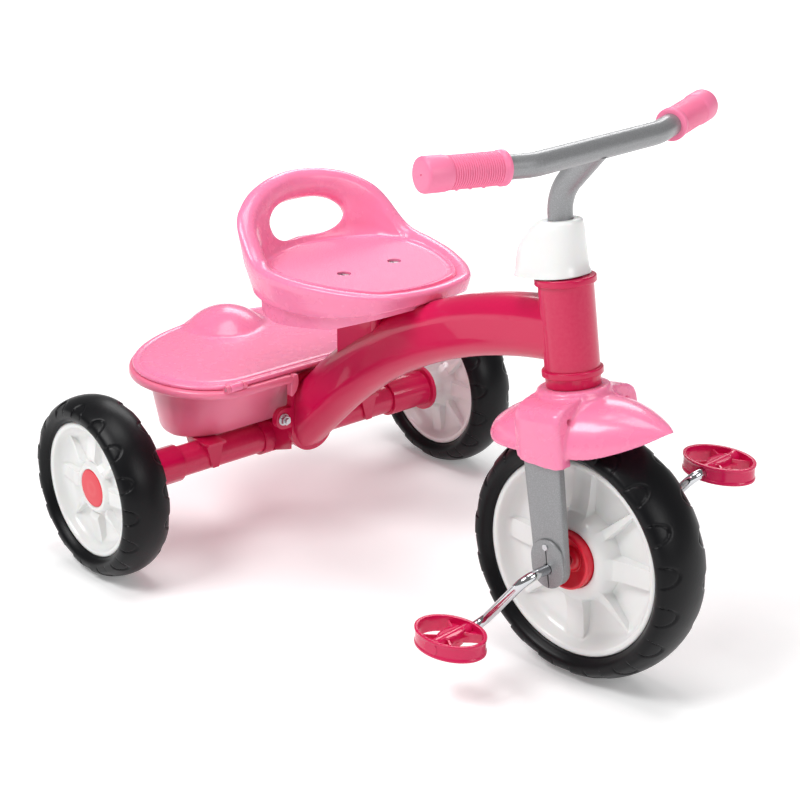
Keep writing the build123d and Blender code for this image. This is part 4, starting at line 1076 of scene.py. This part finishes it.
@dataclass
class Bin(Maker):
    """The storage bin over the rear axle: a tapering tub with a rolled rim."""

    front: float = 66.0
    rear: float = -152.0
    half: float = 169.0
    waist: float = -30.0
    flat: float = 95.0
    floor: float = 120.5
    rim: float = 184.5
    lip: float = 193.5
    notch_half: float = 34.0
    notch_back: float = 44.0

    def outline(self, front: float, rear: float, half: float,
                notch: tuple[float, float] | None) -> np.ndarray:
        """A plan outline, anticlockwise from the middle of the front.

        Args:
            front: The x of the straight front.
            rear: The x of the rear end.
            half: Half the width.
            notch: Half the notch's width and the x of its back, or None.

        Returns:
            The same number of points for every outline.
        """
        flat = self.flat - (self.half - half) / 3
        wide, back = notch or (self.notch_half, front)
        back = min(back, front - 0.01)
        lines = [((back, 0), (back, wide - 0.01), 8), ((back, wide), (front, wide), 5),
                 ((front, wide + 0.01), (front, flat), 10)]
        points = []
        for start, end, steps in lines:
            t = np.linspace(0, 1, steps, endpoint=False)[:, None]
            points.append(np.array(start) * (1 - t) + np.array(end) * t)
        turn = np.linspace(0, math.pi / 2, 26, endpoint=False)[:, None]
        points.append(np.hstack([self.waist + (front - self.waist) * np.cos(turn),
                                 flat + (half - flat) * np.sin(turn)]))
        turn = np.linspace(math.pi / 2, math.pi, 36)[:, None]
        points.append(np.hstack([self.waist + (self.waist - rear) * np.cos(turn), half * np.sin(turn)]))
        left = np.vstack(points)
        right = left[1:-1][::-1] * np.array([1, -1])
        return np.vstack([left, right])

    def body_ring(self, level: float, inset: float, clear: float) -> np.ndarray:
        """The tub's outline at a height, moved in by an inset."""
        share = (level - self.floor) / (self.lip - self.floor)
        front = self.front - 58 + 48 * share - inset
        rear = self.rear + 33 - 17 * share + inset
        half = self.half - 32 + 12 * share - inset
        plan = self.outline(front, rear, half, (self.notch_half + clear, self.notch_back - clear))
        return np.column_stack([plan, np.full(len(plan), level)])

    def rim_ring(self, inset: float, level: float) -> np.ndarray:
        """The rim's outline moved in by an inset."""
        notch = (self.notch_half + inset, self.notch_back - inset)
        plan = self.outline(self.front - inset, self.rear + inset, self.half - inset, notch)
        return np.column_stack([plan, np.full(len(plan), level)])

    def build(self) -> bpy.types.Object:
        """The bin as one closed skin, with the two hooks beside the backbone."""
        centre = np.array([-58.0, 0.0, 0.0])
        rings = [self.toward(self.body_ring(self.floor, 5, 0), centre, s) for s in (0.05, 0.5)]
        rings += [self.body_ring(self.floor + up, inset, 0)
                  for inset, up in ((5, 0), (2.4, 0.5), (0.8, 1.8), (0, 4.5))]
        rings += [self.body_ring(self.floor + up, 0, 0) for up in (20, 36, 52, 60)]
        rings += [self.body_ring(self.rim - 1.2, 0, 0), self.rim_ring(8.5, self.rim),
                  self.rim_ring(3.0, self.rim)]
        rings += [self.rim_ring(i, z) for i, z in ((1.2, self.rim + 0.5), (0.2, self.rim + 2),
                                                   (0, self.rim + 4.2))]
        rings += [self.rim_ring(i, z) for i, z in ((0.4, self.lip - 2.2), (1.5, self.lip - 0.6),
                                                   (3.0, self.lip), (11, self.lip))]
        rings += [self.body_ring(self.lip - 1.2, 3, 3), self.body_ring(self.lip - 4, 3.3, 3)]
        rings += [self.body_ring(self.floor + up, 3.3, 3) for up in (60, 40, 20, 8)]
        rings += [self.body_ring(self.floor + up, inset, 3) for inset, up in ((4.2, 4.6), (6, 3.3), (9, 3))]
        rings += [self.toward(self.body_ring(self.floor + 3, 9, 3), centre, s) for s in (0.5, 0.05)]
        hooks = [self.hook(side) for side in Side]
        shell = joined(skin(np.array(rings)), *hooks, *self.ears())
        return self.piece("moulded_bin", shell, Slot.PINK, (PINK_BIN,), ("storage_bin",), LIPPED_CREASE)

    @staticmethod
    def toward(ring: np.ndarray, centre: np.ndarray, share: float) -> np.ndarray:
        """A ring drawn in toward a point in plan."""
        drawn = ring.copy()
        drawn[:, :2] = centre[:2] + (ring[:, :2] - centre[:2]) * share
        return drawn

    def hook(self, side: Side) -> Shell:
        """The pointed hook that hangs from the rim beside the backbone."""
        outline = eased([(33, 193.4), (27.2, 193.4), (26.6, 187), (27.4, 180), (30, 174), (35.5, 168.6),
                         (37.2, 170), (36.6, 184.6)], 1.4, 3, True)
        outline[:, 0] *= side.value
        place = self.axes.moved(0, 0, 0).turned(((0, 1, 0), (1, 0, 0), (0, 0, 1)))
        return shifted(plate(outline, self.front - 9, self.front - 0.4, 0.8), place, self.axes)

    def ears(self) -> list[Shell]:
        """The small ears on the rim that hold the lid's pins."""
        shells = []
        for side in Side:
            for start in (side.value * 108 - 13.4, side.value * 108 + 8.5):
                profile = eased([(2.05, start), (4.5, start), (4.5, start + 4.9), (2.05, start + 4.9)], 0.7,
                                3, True)
                place = self.axes.moved(60, 0, LID_HINGE_Z)
                shells.append(shifted(lathe(profile, PIN_STEPS), place, self.axes))
        return shells


LID_HINGE_Z = float(joint_point("lid_hinge")[2])


@dataclass
class Lid(Bin):
    """The lid: a thin plate with a rolled edge, a raised panel and a finger dome at the rear."""

    lid_low: float = 194.0
    lid_high: float = 198.5
    plate_front: float = 59.0
    inset: float = 4.5
    dome_x: float = -110.0
    dome_radius: float = 60.0
    dome_rise: float = 22.5
    blend_height: float = 2.2

    def lid_ring(self, inset: float, level: float, domed: bool, thin: float = 0.0) -> np.ndarray:
        """A ring of the lid, lifted by the dome where that is wanted."""
        plan = self.outline(self.plate_front - inset, self.rear + self.inset + inset,
                            self.half - self.inset - inset, None)
        height = np.full(len(plan), level)
        return np.column_stack([plan, self.lifted(plan, height, thin) if domed else height])

    def lifted(self, plan: np.ndarray, height: np.ndarray, thin: float) -> np.ndarray:
        """Heights with the dome blended in."""
        away = np.hypot(plan[:, 0] - self.dome_x, plan[:, 1])
        radius = self.dome_radius - thin
        ball = self.lid_high + self.dome_rise - self.dome_radius + np.sqrt(np.maximum(radius**2 - away**2, 0))
        lift = ball - height
        soft = self.blend_height
        return height + soft * np.logaddexp(0, np.clip(lift / soft, -30, 60))

    def build(self) -> bpy.types.Object:
        """The lid as one closed skin with two hinge knuckles."""
        low, high = self.lid_low, self.lid_high
        centre = np.array([-60.0, 0.0])
        shares = np.linspace(0.96, 0.02, 26)
        under = self.lid_ring(6, low, False)
        rings = []
        for share in shares[::-1]:
            plan = centre + (under[:, :2] - centre) * share
            rings.append(np.column_stack([plan, self.lifted(plan, np.full(len(plan), low - 0.02), 3.2)]))
        rings.append(self.lid_ring(6, low, False))
        rings += [self.lid_ring(i, z, False) for i, z in ((0.9, low), (0.2, low + 0.7), (0, low + 2),
                                                          (0.4, high - 1.1))]
        rings += [self.lid_ring(i, z, True) for i, z in ((1.4, high - 0.3), (2.8, high), (6.2, high),
                                                         (7.0, high - 0.5))]
        rings += [self.lid_ring(i, z, True) for i, z in ((7.8, high - 0.7), (8.6, high - 0.3),
                                                         (9.6, high + 0.5), (11.2, high + 1.0))]
        inner = self.lid_ring(11.2, high, False)
        for share in shares:
            plan = centre + (inner[:, :2] - centre) * share
            rings.append(np.column_stack([plan, self.lifted(plan, np.full(len(plan), high + 1.0), 0)]))
        shell = joined(skin(np.array(rings)), *self.knuckles())
        return self.piece("domed_lid", shell, Slot.PINK, (PINK,), ("bin_lid",), LIPPED_CREASE)

    def knuckles(self) -> list[Shell]:
        """The two knuckles that turn on the pins, each with its tongue."""
        shells = []
        for side in Side:
            y = side.value * 108
            profile = eased([(2.1, y - 8), (4.5, y - 8), (4.5, y + 8), (2.1, y + 8)], 0.8, 3, True)
            shells.append(shifted(lathe(profile, PIN_STEPS), self.axes.moved(60, 0, LID_HINGE_Z), self.axes))
            outline = eased([(50, 194.4), (58, 194.4), (58, 199.3), (50, 199.3)], 1.0, 3, True)
            shells.append(plate(outline, y - 7.6, y + 7.6, 0.8))
        return shells


@dataclass
class Cap(Maker):
    """The white bell over the joint of steerer and stem."""

    low: float = 273.5
    height: float = 52.0
    rows: tuple[tuple[float, float, float, float], ...] = (
        (0.0, 37.0, 30.0, -15.0), (0.035, 37.0, 30.0, -15.0), (0.06, 36.0, 29.2, -15.0),
        (0.25, 35.2, 28.6, -14.6),
        (0.45, 34.0, 28.0, -13.6), (0.62, 32.0, 27.2, -11.4), (0.76, 29.0, 26.0, -8.2),
        (0.87, 25.6, 24.2, -4.8),
        (0.94, 23.0, 22.4, -2.4), (0.975, 21.4, 21.0, -1.0), (0.995, 19.4, 19.2, -0.2),
        (1.0, 17.4, 17.4, 0.0),
    )
    wall: float = 2.6
    bore: float = 12.3

    def ring(self, along: float, deep: float, wide: float, shift: float, inset: float) -> np.ndarray:
        """One ring of the bell, slightly squarer than an ellipse."""
        turn = np.linspace(0, 2 * math.pi, 96, endpoint=False)
        power = 2 / (2.0 + 0.45 * (1 - along))
        x = np.sign(np.cos(turn)) * np.abs(np.cos(turn)) ** power * (deep - inset) + shift
        y = np.sign(np.sin(turn)) * np.abs(np.sin(turn)) ** power * (wide - inset)
        return np.column_stack([x, y, np.full(len(turn), self.low + along * self.height)])

    def build(self) -> bpy.types.Object:
        """The bell with a rolled foot, a rounded shoulder and an open underside."""
        table = np.array(self.rows)
        rings = [self.ring(*row, 0.0) for row in table]
        top = self.low + self.height
        turn = np.linspace(0, 2 * math.pi, 96, endpoint=False)
        for radius, level in ((self.bore + 1.2, top), (self.bore, top - 0.8), (self.bore, top - 2.6)):
            rings.append(np.column_stack([radius * np.cos(turn), radius * np.sin(turn), np.full(96, level)]))
        inner = [self.ring(*row, self.wall) for row in table[:-3][::-1]]
        inner[0][:, 2] -= 0.5
        shell = skin(np.array(rings + inner), True)
        return self.piece("bell_cap", shell, Slot.WHITE, (WHITE,), ("stem_cap",), MOULDED_CREASE)


@dataclass
class Grip(Maker):
    """A soft grip: a collar, a ribbed middle, a smooth swollen end and three finger bumps."""

    side: Side = Side.LEFT
    length: float = 85.0
    radius: float = 15.95
    rib_radius: float = 15.0
    groove: float = 0.75
    ribs: int = 22
    bore: float = 11.0

    def build(self) -> bpy.types.Object:
        """The grip as one turned skin, with its bumps."""
        profile = [(self.bore, 0.0), (self.radius - 1.0, 0.0), (self.radius, 1.0), (self.radius, 5.2),
                   (self.radius - 0.8, 6.2)]
        start, end = 7.5, self.length - 26.0
        pitch = (end - start) / self.ribs
        for k in range(self.ribs):
            at = start + k * pitch
            profile += [(self.rib_radius, at), (self.rib_radius, at + 0.5 * pitch)]
            profile += [(self.rib_radius - self.groove, at + 0.66 * pitch),
                        (self.rib_radius - self.groove, at + 0.84 * pitch)]
        profile += [(self.rib_radius, end), (self.radius - 0.5, end + 2.0), (self.radius, end + 5)]
        profile += [(self.radius, self.length - 3), (self.radius - 0.6, self.length - 1.2),
                    (self.radius - 2.0, self.length - 0.3)]
        profile += [(self.radius - 3.6, self.length), (1.0, self.length - 0.4), (0.7, self.length - 2),
                    (0.001, self.length - 2)]
        profile += [(0.001, self.length - 4), (self.bore, self.length - 4)]
        shells = [lathe(np.array(profile))]
        for along in (20.0, 34.0, 48.0):
            ball = [(2.4 * math.sin(t), -2.4 * math.cos(t)) for t in np.linspace(0.02, math.pi - 0.02, 12)]
            place = self.axes.moved(0, along, -self.rib_radius + 0.9)
            shells.append(shifted(lathe(np.array(ball), 24, wrap=False), place, self.axes))
        name = f"grip_{self.side.word}"
        return self.piece(f"ribbed_{name}", joined(*shells), Slot.PINK, (PINK_GRIP,), (name,), 55.0)


@dataclass
class Pedal(Maker):
    """An oval pedal: a tall ring, a waisted web, a barrel, cross ribs and a raised oval on each face."""

    side: Side = Side.LEFT
    long_half: float = 39.0
    wide_half: float = 29.0
    high_half: float = 8.5
    wall: float = 3.6

    def ring(self) -> Shell:
        """The tall oval ring with a bead along both edges."""
        turn = np.linspace(0, 2 * math.pi, 128, endpoint=False)
        h, w = self.high_half, self.wall
        section = eased([(0, -h), (0, -h + 2.4), (0.9, -h + 3.4), (0.9, h - 3.4), (0, h - 2.4), (0, h),
                         (w, h), (w, -h)], 0.7, 3, True)
        rings = []
        for inset, level in section:
            x, y = (self.long_half - inset) * np.cos(turn), (self.wide_half - inset) * np.sin(turn)
            rings.append(np.column_stack([x, y, np.full(128, level)]))
        return skin(np.array(rings), True)

    def web(self) -> Shell:
        """The web between the two openings, waisted at the barrel."""
        rows = []
        inner_long, inner_wide = self.long_half - self.wall + 0.6, self.wide_half - self.wall + 0.4
        for y in np.linspace(-inner_wide + 0.3, inner_wide - 0.3, 41):
            reach = inner_long * math.sqrt(max(1 - (y / inner_wide) ** 2, 0))
            if abs(y) < 20:
                reach = min(reach, 22.5 - 13.5 * math.sqrt(1 - (y / 20) ** 2))
            x = np.array([-reach, -0.5 * reach, 0, 0.5 * reach, reach])
            loop = [(a, y, 1.6) for a in x] + [(a, y, -1.6) for a in x[::-1]]
            rows.append(loop)
        return skin(np.array(rows))

    def oval(self, up: float) -> Shell:
        """The raised oval on one face, with a fine border."""
        turn = np.linspace(0, 2 * math.pi, 64, endpoint=False)
        steps = [(1.0, 1.0), (0.98, 5.2), (0.93, 6.6), (0.86, 7.2), (0.8, 7.0), (0.76, 6.5), (0.4, 6.7),
                 (0.05, 6.8)]
        rings = [np.column_stack([9.5 * s * np.cos(turn), 18.5 * s * np.sin(turn), np.full(64, up * z)])
                 for s, z in steps]
        return skin(np.array(rings))

    def ribs(self) -> list[Shell]:
        """Four slim ribs from the barrel out to the ring."""
        shells = []
        for sx in (-1, 1):
            for sy in (-1, 1):
                start, end = np.array([sx * 6.0, sy * 10.0]), np.array([sx * 22.0, sy * 20.5])
                along = (end - start) / np.linalg.norm(end - start)
                across = np.array([-along[1], along[0]]) * 0.9
                rings = []
                for point, tall in ((start, 5.5), ((start + end) / 2, 4.6), (end, 4.4)):
                    sides = [point - across, point + across]
                    corners = [(*sides[0], -tall), (*sides[1], -tall), (*sides[1], tall), (*sides[0], tall)]
                    rings.append(corners)
                shells.append(skin(np.array(rings)))
        return shells

    def build(self) -> bpy.types.Object:
        """The whole pedal as one piece."""
        barrel = eased([(5.1, -28), (6.6, -28), (7.4, -22), (7.4, 22), (8.6, 27.5), (7.6, 28.4), (5.1, 28.4)],
                       0.8, 3, True)
        barrel[:, 1] *= self.side.value
        sleeve = lathe(barrel, SMALL_ROUND_STEPS)
        shell = joined(self.ring(), self.web(), self.oval(1.0), self.oval(-1.0), sleeve, *self.ribs())
        name = f"pedal_{self.side.word}"
        return self.piece(f"oval_{name}", shell, Slot.CRIMSON, (CRIMSON,), (name,), 40.0)


@dataclass
class DropoutCover(Maker):
    """The stadium-shaped plate over a fork end, slit from the rivet down past the crank."""

    side: Side = Side.LEFT
    half: float = 19.5
    rise: float = 10.0
    low: float = 57.0
    high: float = 60.0
    rivet: float = 22.0
    slit: float = 0.75

    def build(self) -> bpy.types.Object:
        """The plate with its round hole, rivet hole and slit."""
        turn = np.linspace(0, math.pi, 33)
        upper = [(self.half * math.cos(t), self.rise + self.half * math.sin(t)) for t in turn]
        lower = [(-x, -z + self.rise) for x, z in upper]
        outline = np.array(upper + lower)
        near, far = sorted((self.side.value * self.low, self.side.value * self.high))
        name = f"dropout_cover_{self.side.word}"
        made = self.piece(f"slit_{name}", plate(outline, near, far, 0.9), Slot.SILVER, (SILVER,), (name,),
                          THIN_PLATE_CREASE)
        cutters = [self.drill(5.5, 0.0), self.drill(1.55, self.rivet)]
        box = np.array([(self.slit, -40), (self.slit, self.rivet), (-self.slit, self.rivet),
                        (-self.slit, -40)])
        cutters.append(loose_object("slit", plate(box, near - 2, far + 2, 0.0001), self.axes))
        cut_with(made, cutters)
        return made

    def drill(self, radius: float, level: float) -> bpy.types.Object:
        """A round cutter through the plate."""
        reach = self.side.value * (self.low + self.high) / 2
        profile = np.array([(0.001, reach - 5), (radius, reach - 5), (radius, reach + 5), (0.001, reach + 5)])
        return loose_object("drill", lathe(profile, PIN_STEPS, wrap=False), self.axes.moved(0, 0, level))


@dataclass
class Fender(Maker):
    """The front fender: a pointed canopy, a round boss and a cover over each leg, all blended."""

    wall: float = 3.6
    voxel: float = 1.2
    rounds: int = 9
    stations: tuple[tuple[float, float, float, float], ...] = (
        (-117, 103, 5, 100), (-113, 110, 16, 98), (-104, 119, 28, 97), (-88, 131, 40, 98),
        (-62, 144, 51, 103),
        (-30, 155, 57, 109), (0, 161, 56, 112), (28, 163, 48, 116), (50, 161, 37, 124), (68, 157, 25, 133),
        (81, 152.5, 14, 141), (88, 149.5, 6, 146), (91, 148, 2, 147),
    )
    bulge: float = 0.9

    def canopy(self) -> Shell:
        """The arched shell from the rear edge to the front tip."""
        turn = np.linspace(-math.pi / 2, math.pi / 2, 49)
        across, rise = np.sin(turn), np.abs(np.cos(turn)) ** self.bulge
        rings = []
        for x, ridge, half, edge in flow(np.array(self.stations), 6):
            inner, lower = max(half - self.wall, 0.4), max(ridge - self.wall, edge + 0.2)
            y = np.concatenate([half * across, inner * across[::-1]])
            z = np.concatenate([edge + (ridge - edge) * rise, edge + (lower - edge) * rise[::-1]])
            place = np.concatenate([np.full(49, x), np.full(49, 0.965 * x)])
            rings.append(np.column_stack([place, y, z]))
        return skin(np.array(rings))

    def boss(self) -> Shell:
        """The round boss under the head, with a flared foot."""
        corners = [(16, 147), (46, 147), (41, 154.5), (37.6, 158), (36.2, 161), (35.8, 164), (34.6, 166),
                   (32, 166.6), (16, 166.6)]
        return lathe(np.array(corners, float))

    def cover(self, side: Side) -> Shell:
        """The block that becomes the cover over one leg, in the fork's axes."""
        rings = []
        for x, out in ((-30, 55.5), (-26, 58), (-20, 60.4), (-12, 61.8), (0, 62.6), (15, 62.8), (22.5, 62.4),
                       (26.2, 61), (28.2, 58.5)):
            low = 103 - 0.1 * x + 1.5 * smooth_step(np.array(abs(x)), 20, 27)
            line = [(46, low), (out, low), (out, 136), (out - 0.9, 146), (out - 4, 152.6), (out - 10, 157),
                    (out - 20, 160)]
            line += [(24, 162), (24, 150), (46, 146)]
            rings.append([(x, side.value * y, z) for y, z in line])
        return skin(np.array(rings, float))

    def build(self) -> bpy.types.Object:
        """Joins the parts, blends them, and cuts the room for the crown, the legs and the steerer."""
        fork = fork_axes()
        upright = fork.turned(((1, 0, 0), (0, 0, 1), (0, -1, 0)))
        blocks = [shifted(self.cover(side), fork, self.axes) for side in Side]
        shell = joined(self.canopy(), shifted(self.boss(), upright, self.axes), *blocks)
        made = self.piece("blended_fender", shell, Slot.PINK, (PINK,), ("fender",))
        remesh = made.modifiers.new("even", "REMESH")
        remesh.mode, remesh.voxel_size, remesh.use_smooth_shade = "VOXEL", self.voxel * MM, True
        relax = made.modifiers.new("relax", "SMOOTH")
        relax.factor, relax.iterations = 0.5, self.rounds
        bpy.context.view_layer.objects.active = made
        for modifier in (remesh, relax):
            bpy.ops.object.modifier_apply(modifier=modifier.name)
        slot = np.array([(-22.7, 40.0), (22.7, 40.0), (22.7, 151.2), (-22.7, 151.2)])
        room = loose_object("leg_room", plate(slot, -57.2, 57.2, 5.0), fork)
        bore = loose_object("steerer_room", lathe(np.array([(0.001, 120.0), (15.3, 120.0), (15.3, 190.0),
                                                            (0.001, 190.0)]), 64, False), upright)
        cut_with(made, [room, bore])
        return made


@dataclass
class ForkLeg(Maker):
    """A flat fork leg with rounded long edges and a round lower end."""

    side: Side = Side.LEFT
    low: float = 47.0
    high: float = 57.0
    half: float = 19.0
    top_half: float = 22.5
    top: float = 143.0
    bore: float = 8.0

    def build(self) -> bpy.types.Object:
        """The leg, bored for the crank's bush."""
        turn = np.linspace(math.pi, 2 * math.pi, 25)
        outline = [(self.half * math.cos(t), self.half * math.sin(t)) for t in turn]
        outline += [(self.half + 1.2, 50), (self.half + 2.4, 100), (self.top_half, self.top), (0, self.top)]
        outline += [(-self.top_half, self.top), (-self.half - 2.4, 100), (-self.half - 1.2, 50)]
        near, far = sorted((self.side.value * self.low, self.side.value * self.high))
        name = f"fork_leg_{self.side.word}"
        made = self.piece(f"rounded_{name}", plate(np.array(outline), near, far, 2.4, 6), Slot.SILVER,
                          (SILVER,), (name,))
        middle = self.side.value * (self.low + self.high) / 2
        profile = np.array([(0.001, middle - 8), (self.bore, middle - 8), (self.bore, middle + 8),
                            (0.001, middle + 8)])
        cut_with(made, [loose_object("bush_room", lathe(profile, SMALL_ROUND_STEPS, False), self.axes)])
        return made


@dataclass
class CarriedNodes:
    """Every CAD node that stays: its finish by slot, with weld and bevel so that edges catch light."""

    bevel: float = 0.5
    plain: tuple[str, ...] = ("backbone_tube", "crank", "handlebar_tube", "stem_tube", "head_tube",
                              "rear_axle_tube")

    def dress(self) -> None:
        """Gives each shown CAD node its finish and eased edges."""
        slots = {row["node"]: row["material_slot"] for row in frame["record"]["subparts"]}
        for name, node in sorted(frame["nodes"].items()):
            if node.hide_render:
                continue
            finish = SLOT_FINISH[Slot(slots[name])]
            if not node.data.materials:
                node.data.materials.append(finish.material())
            for index in range(len(node.data.materials)):
                node.data.materials[index] = finish.material()
            if name not in self.plain:
                self.ease(node)
            LOG.info("%s: kept, %s", name, finish.name)

    def ease(self, node: bpy.types.Object) -> None:
        """Adds the weld and bevel modifiers."""
        weld = node.modifiers.new("weld", "WELD")
        weld.merge_threshold = 1e-6
        bevel = node.modifiers.new("ease", "BEVEL")
        bevel.width = self.bevel * MM
        bevel.segments = 2
        bevel.limit_method = "ANGLE"
        bevel.angle_limit = math.radians(40)
        bevel.harden_normals = True


# --- stage -------------------------------------------------------------------
@dataclass
class Studio:
    """A pale floor, soft lights and the camera."""

    eye: Vector = field(default_factory=lambda: Vector((1.4298, -1.2295, 0.9517)))
    target: Vector = field(default_factory=lambda: Vector((-0.0216, -0.0023, 0.2)))
    lens: float = 87.13
    sensor: float = 36.0
    world_light: float = 0.22
    lamp_aim: tuple[float, float, float] = (0.0, 0.0, 0.2)
    floor_reach: float = 30.0
    floor_gap: float = 0.0001

    def build(self) -> None:
        """Makes the camera, the floor and the lights."""
        self.camera()
        self.floor()
        self.lamp("key", (-0.3, -1.7, 2.3), (1.3, 0.9), 44.0)
        self.lamp("front_fill", (2.3, 0.3, 1.5), (1.0, 1.0), 16.0)
        self.lamp("back_rim", (-1.4, 1.5, 1.7), (1.4, 0.8), 18.0)
        self.lamp("top", (0.0, 0.0, 2.6), (1.2, 1.2), 24.0)
        world = bpy.data.worlds.new("studio_world")
        world.use_nodes = True
        world.node_tree.nodes["Background"].inputs["Color"].default_value = (1.0, 1.0, 1.0, 1.0)
        world.node_tree.nodes["Background"].inputs["Strength"].default_value = self.world_light
        bpy.context.scene.world = world
        bpy.context.scene.view_settings.view_transform = "Standard"

    def camera(self) -> None:
        """The camera at the chosen angle."""
        data = bpy.data.cameras.new("studio_camera")
        data.lens, data.sensor_width = self.lens, self.sensor
        data.clip_start, data.clip_end = 0.05, 50.0
        made = bpy.data.objects.new("studio_camera", data)
        bpy.context.scene.collection.objects.link(made)
        made.location = self.eye
        made.rotation_euler = (self.target - self.eye).to_track_quat("-Z", "Y").to_euler()
        bpy.context.scene.camera = made

    def floor(self) -> None:
        """The pale floor, just under the tyres."""
        mesh = bpy.data.meshes.new("studio_floor")
        reach, level = self.floor_reach, CAD_BOX[0].z - self.floor_gap
        corners = [(-reach, -reach, level), (reach, -reach, level), (reach, reach, level),
                   (-reach, reach, level)]
        mesh.from_pydata(corners, [], [(0, 1, 2, 3)])
        made = bpy.data.objects.new("studio_floor", mesh)
        bpy.context.scene.collection.objects.link(made)
        paper = Finish("studio_paper", (0.93, 0.93, 0.93), 0.7, peel=0.05, rub=0.0, drift=0.05).material()
        self.glow(paper.node_tree)
        mesh.materials.append(paper)

    @staticmethod
    def glow(tree: Nodes) -> None:
        """Makes the floor glow more with distance, so that it stays white beyond the lights."""
        shader = tree.nodes["Principled BSDF"]
        shader.inputs["Emission Color"].default_value = (1.0, 1.0, 1.0, 1.0)
        place = tree.nodes.new("ShaderNodeTexCoord")
        away = tree.nodes.new("ShaderNodeVectorMath")
        away.operation = "LENGTH"
        tree.links.new(place.outputs["Object"], away.inputs[0])
        reach = tree.nodes.new("ShaderNodeMapRange")
        reach.interpolation_type = "SMOOTHSTEP"
        for label, value in {"From Min": 0.7, "From Max": 2.6, "To Min": 0.2, "To Max": 0.88}.items():
            reach.inputs[label].default_value = value
        tree.links.new(away.outputs["Value"], reach.inputs["Value"])
        tree.links.new(reach.outputs["Result"], shader.inputs["Emission Strength"])

    def lamp(self, name: str, place: tuple[float, float, float], size: tuple[float, float],
             power: float) -> None:
        """A rectangular soft light that points at the object's middle."""
        data = bpy.data.lights.new(name, "AREA")
        data.shape, data.size, data.size_y, data.energy = "RECTANGLE", size[0], size[1], power
        made = bpy.data.objects.new(name, data)
        bpy.context.scene.collection.objects.link(made)
        made.location = place
        made.rotation_euler = (Vector(self.lamp_aim) - Vector(place)).to_track_quat("-Z", "Y").to_euler()


def build_wheels() -> None:
    """The three wheels with their cups and caps."""
    front = Wheel(
        front_axes(), "front_wheel", name="front", web=6.0,
        hub_out=((5.1, 19.6), (29.3, 19.6), (29.3, 25.5), (30.4, 27.0), (33.5, 27.2), (40.0, 24.0),
                 (45.0, 18.5)),
    )
    front.tyre()
    front.disc("front_rim", front.hub_out)
    for side in Side:
        HubCup(front_axes(), "front_wheel", side=side).build()
        place = Axes(joint_point(f"rear_wheel_{side.word}_spin"), np.diag([1.0, side.value, 1.0]))
        rear = Wheel(
            place, f"rear_wheel_{side.word}", name=f"rear_{side.word}", radius=100.0, seat=74.7, half=28.0,
            disc_half=20.0, web=4.5, treads=16, tread_half=11.0, tread_reach=21.0, tread_foot=36.0,
            hub_out=((9.1, 5.0), (21.1, 5.0), (21.1, 12.6), (22.0, 13.6), (24.6, 13.8), (26.6, 12.6),
                     (29.0, 9.5)),
        )
        rear.tyre()
        rear.disc(f"rear_rim_{side.word}", ((9.1, 31.0), (18.0, 31.0), (19.0, 30.0), (19.0, 20.0),
                                            (21.0, 15.0), (27.0, 11.0)))
        straight = Axes(place.origin, np.eye(3))
        HubCap(straight, f"rear_wheel_{side.word}", side=side).build()


def main() -> None:
    """Builds the stage and every piece in order."""
    logging.basicConfig(level=logging.INFO, format="%(name)s %(message)s")
    Studio().build()
    build_wheels()
    chassis = chassis_axes()
    Seat(chassis, "frame").build()
    Bin(chassis, "frame").build()
    Lid(chassis, "bin_lid").build()
    Fender(front_axes(), "steering").build()
    Cap(fork_axes(), "steering").build()
    for side in Side:
        place, length = long_axes(f"grip_{side.word}", (0.0, side.value, 0.0))
        Grip(place, "steering", side=side, length=length).build()
        centre = Axes(joint_point(f"pedal_{side.word}_spin"), steered_turn())
        Pedal(centre, f"pedal_{side.word}", side=side).build()
        ForkLeg(fork_axes(), "steering", side=side).build()
        DropoutCover(fork_axes(), "steering", side=side).build()
    CarriedNodes().dress()


if __name__ == "__main__":
    main()
